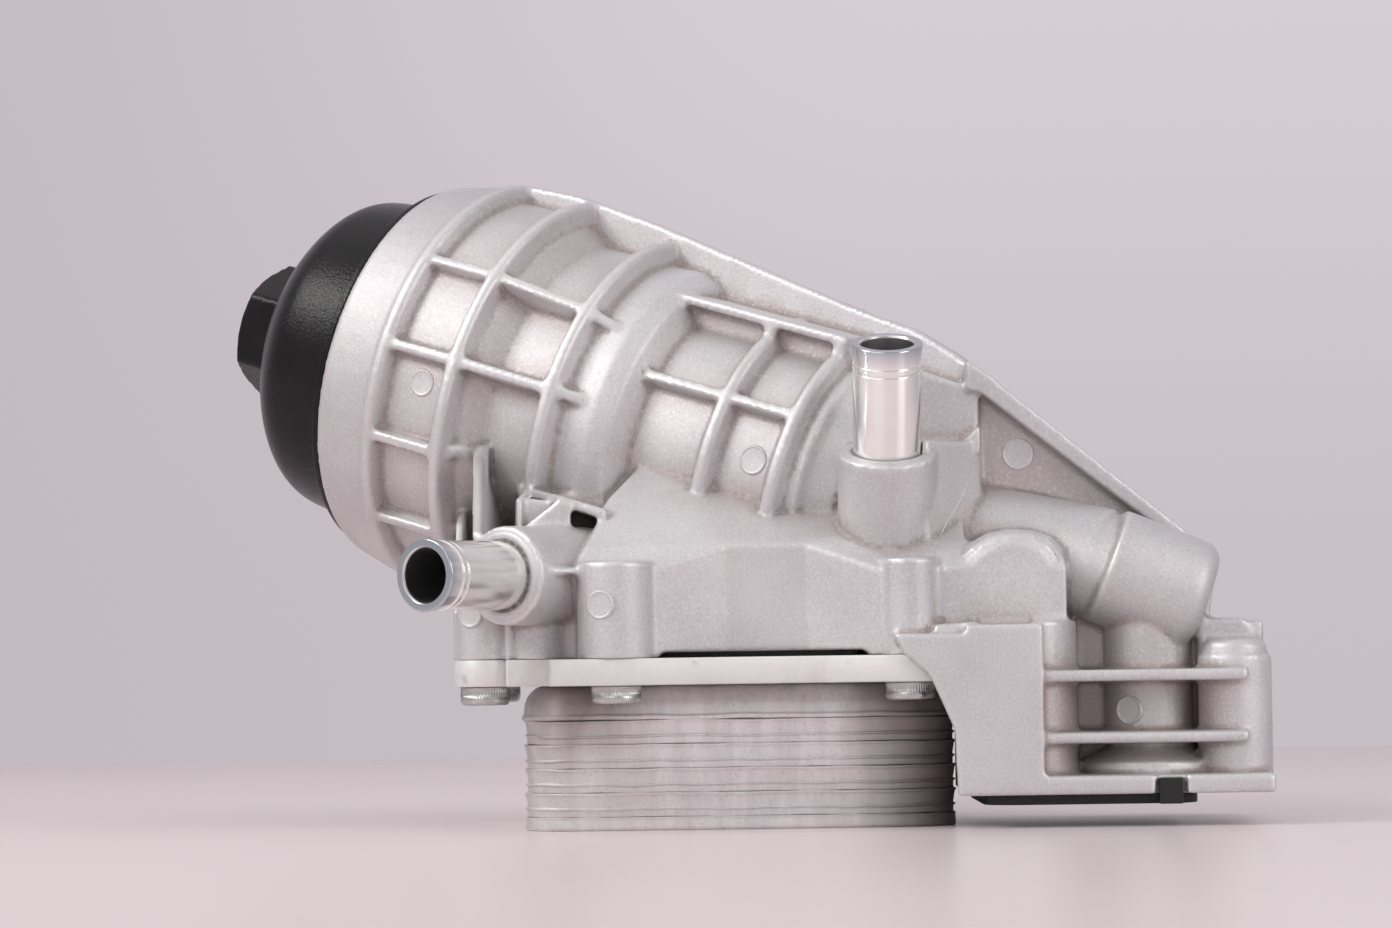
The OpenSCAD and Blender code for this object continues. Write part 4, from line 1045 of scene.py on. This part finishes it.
def screw(place_mm, shank_top):
    """Rows of (height, radius, tooth depth, lobe depth) round an upright axis, head down."""
    rows = np.array([
        (shank_top, 0, 0, 0), (shank_top, SHANK_R - 0.6, 0, 0), (shank_top - 0.6, SHANK_R, 0, 0),
        (-0.02, SHANK_R, 0, 0), (-0.02, HEAD_R - 0.35, 0, 0), (-0.25, HEAD_R - 0.08, 0, 0),
        (-0.5, HEAD_R - 0.02, 0, 0), (-0.7, HEAD_R - 0.25, 0.16, 0), (-2.5, HEAD_R - 0.25, 0.16, 0),
        (-2.75, HEAD_R - 0.02, 0, 0), (-3.6, HEAD_R - 0.02, 0, 0), (-4.3, HEAD_R - 0.25, 0, 0),
        (-4.85, HEAD_R - 0.8, 0, 0), (-HEAD_H, HEAD_R - 1.7, 0, 0), (-HEAD_H, 3.9, 0, 0),
        (-HEAD_H + 0.1, 3.1, 0, 0.45), (-HEAD_H + 2.6, 3.0, 0, 0.45), (-HEAD_H + 2.9, 2.6, 0, 0.3),
        (-HEAD_H + 3.0, 0, 0, 0)])
    angle = np.linspace(0, 2 * math.pi, TEETH * 4, endpoint=False)
    radius = (rows[:, 1, None] + rows[:, 2, None] * np.cos(TEETH * angle)
              + rows[:, 3, None] * np.cos(6 * angle))
    return grid_mesh("screw", (rings_of(radius, angle, rows[:, 0]) + np.array(place_mm)) * MM)


screw_low, screw_high = (np.array(corner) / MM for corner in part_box("cooler_screws"))
head_seat = screw_low[2] + HEAD_H
SCREW_PLACES = ((-32.4, 54), (44.8, 54), (-67.5, 38))
screws = []
for x, y in SCREW_PLACES:
    for way in (1, -1):
        screws.append(screw((x, way * y, head_seat), screw_high[2] - head_seat))
screw_set = joined("screw_set", screws)
wear(screw_set, ZINC)
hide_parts("cooler_screws")
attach(screw_set, "housing_body")
print("screws:", len(screw_set.data.polygons), "faces")

# %% [markdown]
# Ejector pins push the casting out of its mould and leave round marks, a low rim round a flat. Their
# places were read off the photograph: a ray from the eye finds the skin there, and the mark lies flat
# on the skin it hits. The line where the halves of the mould met is found in the same way.

# %% Marks of the mould
skin = BVHTree.FromObject(casting, bpy.context.evaluated_depsgraph_get())


def skin_at(px, py, spread_px=3.0):
    """Where the eye's ray meets the casting, and the mean normal of five rays round it."""
    hits = [skin.ray_cast(eye, ray_at(px + dx, py + dy))
            for dx, dy in ((0, 0), (spread_px, 0), (-spread_px, 0), (0, spread_px), (0, -spread_px))]
    hits = [hit for hit in hits if hit[0] is not None]
    normal = sum((hit[1] for hit in hits), Vector()).normalized()
    return hits[0][0], normal


def ejector_mark(name, px, py, radius):
    where, normal = skin_at(px, py, radius * 2)
    corners = [(0, 0.16, 0), (radius - 0.7, 0.16, 0.2), (radius - 0.35, 0.34, 0.2), (radius, 0.26, 0.2),
               (radius + 0.35, -0.4, 0.2), (radius - 0.4, -0.9, 0.2), (0, -0.9, 0)]
    pose = axis_pose(where, normal, (0, 0.1, -1))
    mark = grid_mesh(name, revolve(rounded_profile(corners, 3), 48), pose=pose)
    note_evenly(mark, 0.52)
    wear(mark, CAST)
    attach(mark, "housing_body")


MARKS = ((422, 383, 3.6), (753, 460, 3.9), (600, 605, 3.7), (470, 615, 3.4), (1018, 454, 4.2),
         (1129, 710, 3.7))
for k, (px, py, radius) in enumerate(MARKS):
    ejector_mark(f"ejector_mark_{k + 1}", px, py, radius)


def skin_thread(name, pixels, radius_mm, steps=60):
    """A thin round bead along the skin, through the places that the eye's rays hit."""
    share = np.linspace(0, len(pixels) - 1, steps)
    px = np.interp(share, range(len(pixels)), [p[0] for p in pixels])
    py = np.interp(share, range(len(pixels)), [p[1] for p in pixels])
    path = np.array([skin_at(x, y, 1.0)[0] for x, y in zip(px, py)])
    for _ in range(2):
        path[1:-1] = (path[:-2] + path[1:-1] * 2 + path[2:]) / 4
    along = np.gradient(path, axis=0)
    along /= np.linalg.norm(along, axis=1)[:, None]
    across = np.cross(along, np.array(forward))
    across /= np.linalg.norm(across, axis=1)[:, None]
    over = np.cross(along, across)
    angle = np.linspace(0, 2 * math.pi, 8, endpoint=False)
    size = radius_mm * MM * np.minimum(1, np.minimum(share, share[::-1]) * 2 + 0.1)[:, None, None]
    ring = across[:, None] * np.cos(angle)[None, :, None] + over[:, None] * np.sin(angle)[None, :, None]
    bead = grid_mesh(name, np.concatenate([path[:1, None] + ring[:1] * 0, path[:, None] + ring * size,
                                           path[-1:, None] + ring[-1:] * 0]))
    # Convexity 0.7 gives the bead the cast finish's painted highlight of a crest.
    note_evenly(bead, 0.7)
    wear(bead, CAST)
    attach(bead, "housing_body")


skin_thread("parting_line", ((939, 538), (948, 520), (960, 500), (970, 478)), 0.28)
print("ejector marks:", len(MARKS), "and one parting line")

# %% [markdown]
# The stage is a pale glossy table that ends in a plain wall. The sheet curves up where they meet, so
# the line between them is soft. The wall glows in its grey for the camera and in reflections, and that
# grey carries painted shade, darker towards the left and towards the bottom; the part is lit only by
# the lamps and the even light of the room. From its back the wall is clear, so it hides nothing from a
# camera that stands behind it.

# %% Table and wall
TABLE_FRONT = -2.6
TABLE_BACK = 0.80
COVE = 0.10
WALL_TOP = 2.0
HALF_WIDTH = 2.5


def sweep_mesh(name, profile, half_width):
    """A profile in Y and Z carried along X."""
    rows = np.array(profile)
    xs = np.linspace(-half_width, half_width, 3)
    points = np.stack(np.broadcast_arrays(xs[None, :], rows[:, :1], rows[:, 1:]), axis=-1)
    return grid_mesh(name, points, around=False)


bend = [(TABLE_BACK + COVE * math.sin(a), COVE - COVE * math.cos(a))
        for a in np.linspace(0, math.pi / 2, 13)]
floor = sweep_mesh("table", [(TABLE_FRONT, 0.0), (TABLE_BACK - 0.02, 0.0)] + bend[:1], HALF_WIDTH)
wall = sweep_mesh("wall", bend + [(TABLE_BACK + COVE, WALL_TOP)], HALF_WIDTH)
if wall.data.polygons[-1].normal.y > 0:
    wall.data.flip_normals()


def table_finish():
    f = Finish("table_top", Roughness=0.27, Specular_IOR_Level=0.36)
    cloud = f.noise(5, 2.0)
    return f.show(Base_Color=f.mix(cloud, (0.765, 0.685, 0.70), (0.785, 0.705, 0.72)))


def wall_finish():
    f = Finish("wall_grey_and_painted_shade", Roughness=0.9, Specular_IOR_Level=0.1)
    x = f.axis("X")
    z = f.axis("Z")
    # Painted shade: the wall's grey is painted darker towards the left and towards the bottom.
    tone = f.mix(x.step(-0.42, 0.10), (0.555, 0.495, 0.535), (0.675, 0.62, 0.66))
    tone = f.mix(z.step(0.40, 0.02) * 0.75, tone, (0.535, 0.49, 0.515))
    # The wall glows in this grey for the camera and in reflections, showing its painted shade at a set brightness.
    glow = f.node("ShaderNodeEmission", {}, {"Color": tone, "Strength": 1.0})
    seen = (f.node("ShaderNodeLightPath", out="Is Camera Ray")
            + f.node("ShaderNodeLightPath", out="Is Glossy Ray")
            + f.node("ShaderNodeLightPath", out="Is Transmission Ray")).at_most(1.0)
    f.put(f.bsdf.inputs["Base Color"], tone)
    both = f.node("ShaderNodeMixShader", {}, {0: seen, 1: Value(f, f.bsdf.outputs[0]), 2: glow})
    behind = f.node("ShaderNodeNewGeometry", out="Backfacing")
    clear = f.node("ShaderNodeBsdfTransparent")
    one_sided = f.node("ShaderNodeMixShader", {}, {0: behind, 1: both, 2: clear})
    f.put(f.tree.nodes["Material Output"].inputs["Surface"], one_sided)
    return f.material


wear(floor, table_finish())
wear(wall, wall_finish())
print("stage:", floor.name, wall.name)

# %% [markdown]
# The light is soft and comes from above and a little from the left and front, from wide lamps. The
# room adds an even lilac grey.

# %% Lamps and room
def lamp(name, place, size, watts, tint=(1, 1, 1), look=(0, 0, 0.07)):
    light = bpy.data.lights.new(name, "AREA")
    light.shape = "RECTANGLE"
    light.size, light.size_y = size
    light.energy = watts
    light.color = tint
    thing = placed(name, light)
    thing.location = place
    thing.rotation_euler = (Vector(look) - Vector(place)).to_track_quat("-Z", "Y").to_euler()


lamp("overhead", (0.0, 0.0, 1.15), (1.2, 1.0), 1.8)
lamp("key", (-0.88, -0.33, 0.85), (0.38, 0.38), 5.6, (1.0, 0.985, 0.965), (-0.12, 0.0, 0.12))
lamp("front_left", (-0.7, -1.2, 0.75), (0.9, 0.9), 3.2, (1.0, 0.985, 0.97))
lamp("front_right", (1.1, -0.9, 0.6), (0.6, 0.8), 5.4, (1.0, 0.97, 0.96))

room = bpy.data.worlds.new("room")
bpy.context.scene.world = room
room.use_nodes = True
room.node_tree.nodes["Background"].inputs["Color"].default_value = (0.92, 0.89, 0.91, 1)
room.node_tree.nodes["Background"].inputs["Strength"].default_value = 0.58
bpy.context.scene.view_settings.view_transform = "Standard"
print("lamps:", len(bpy.data.lights))
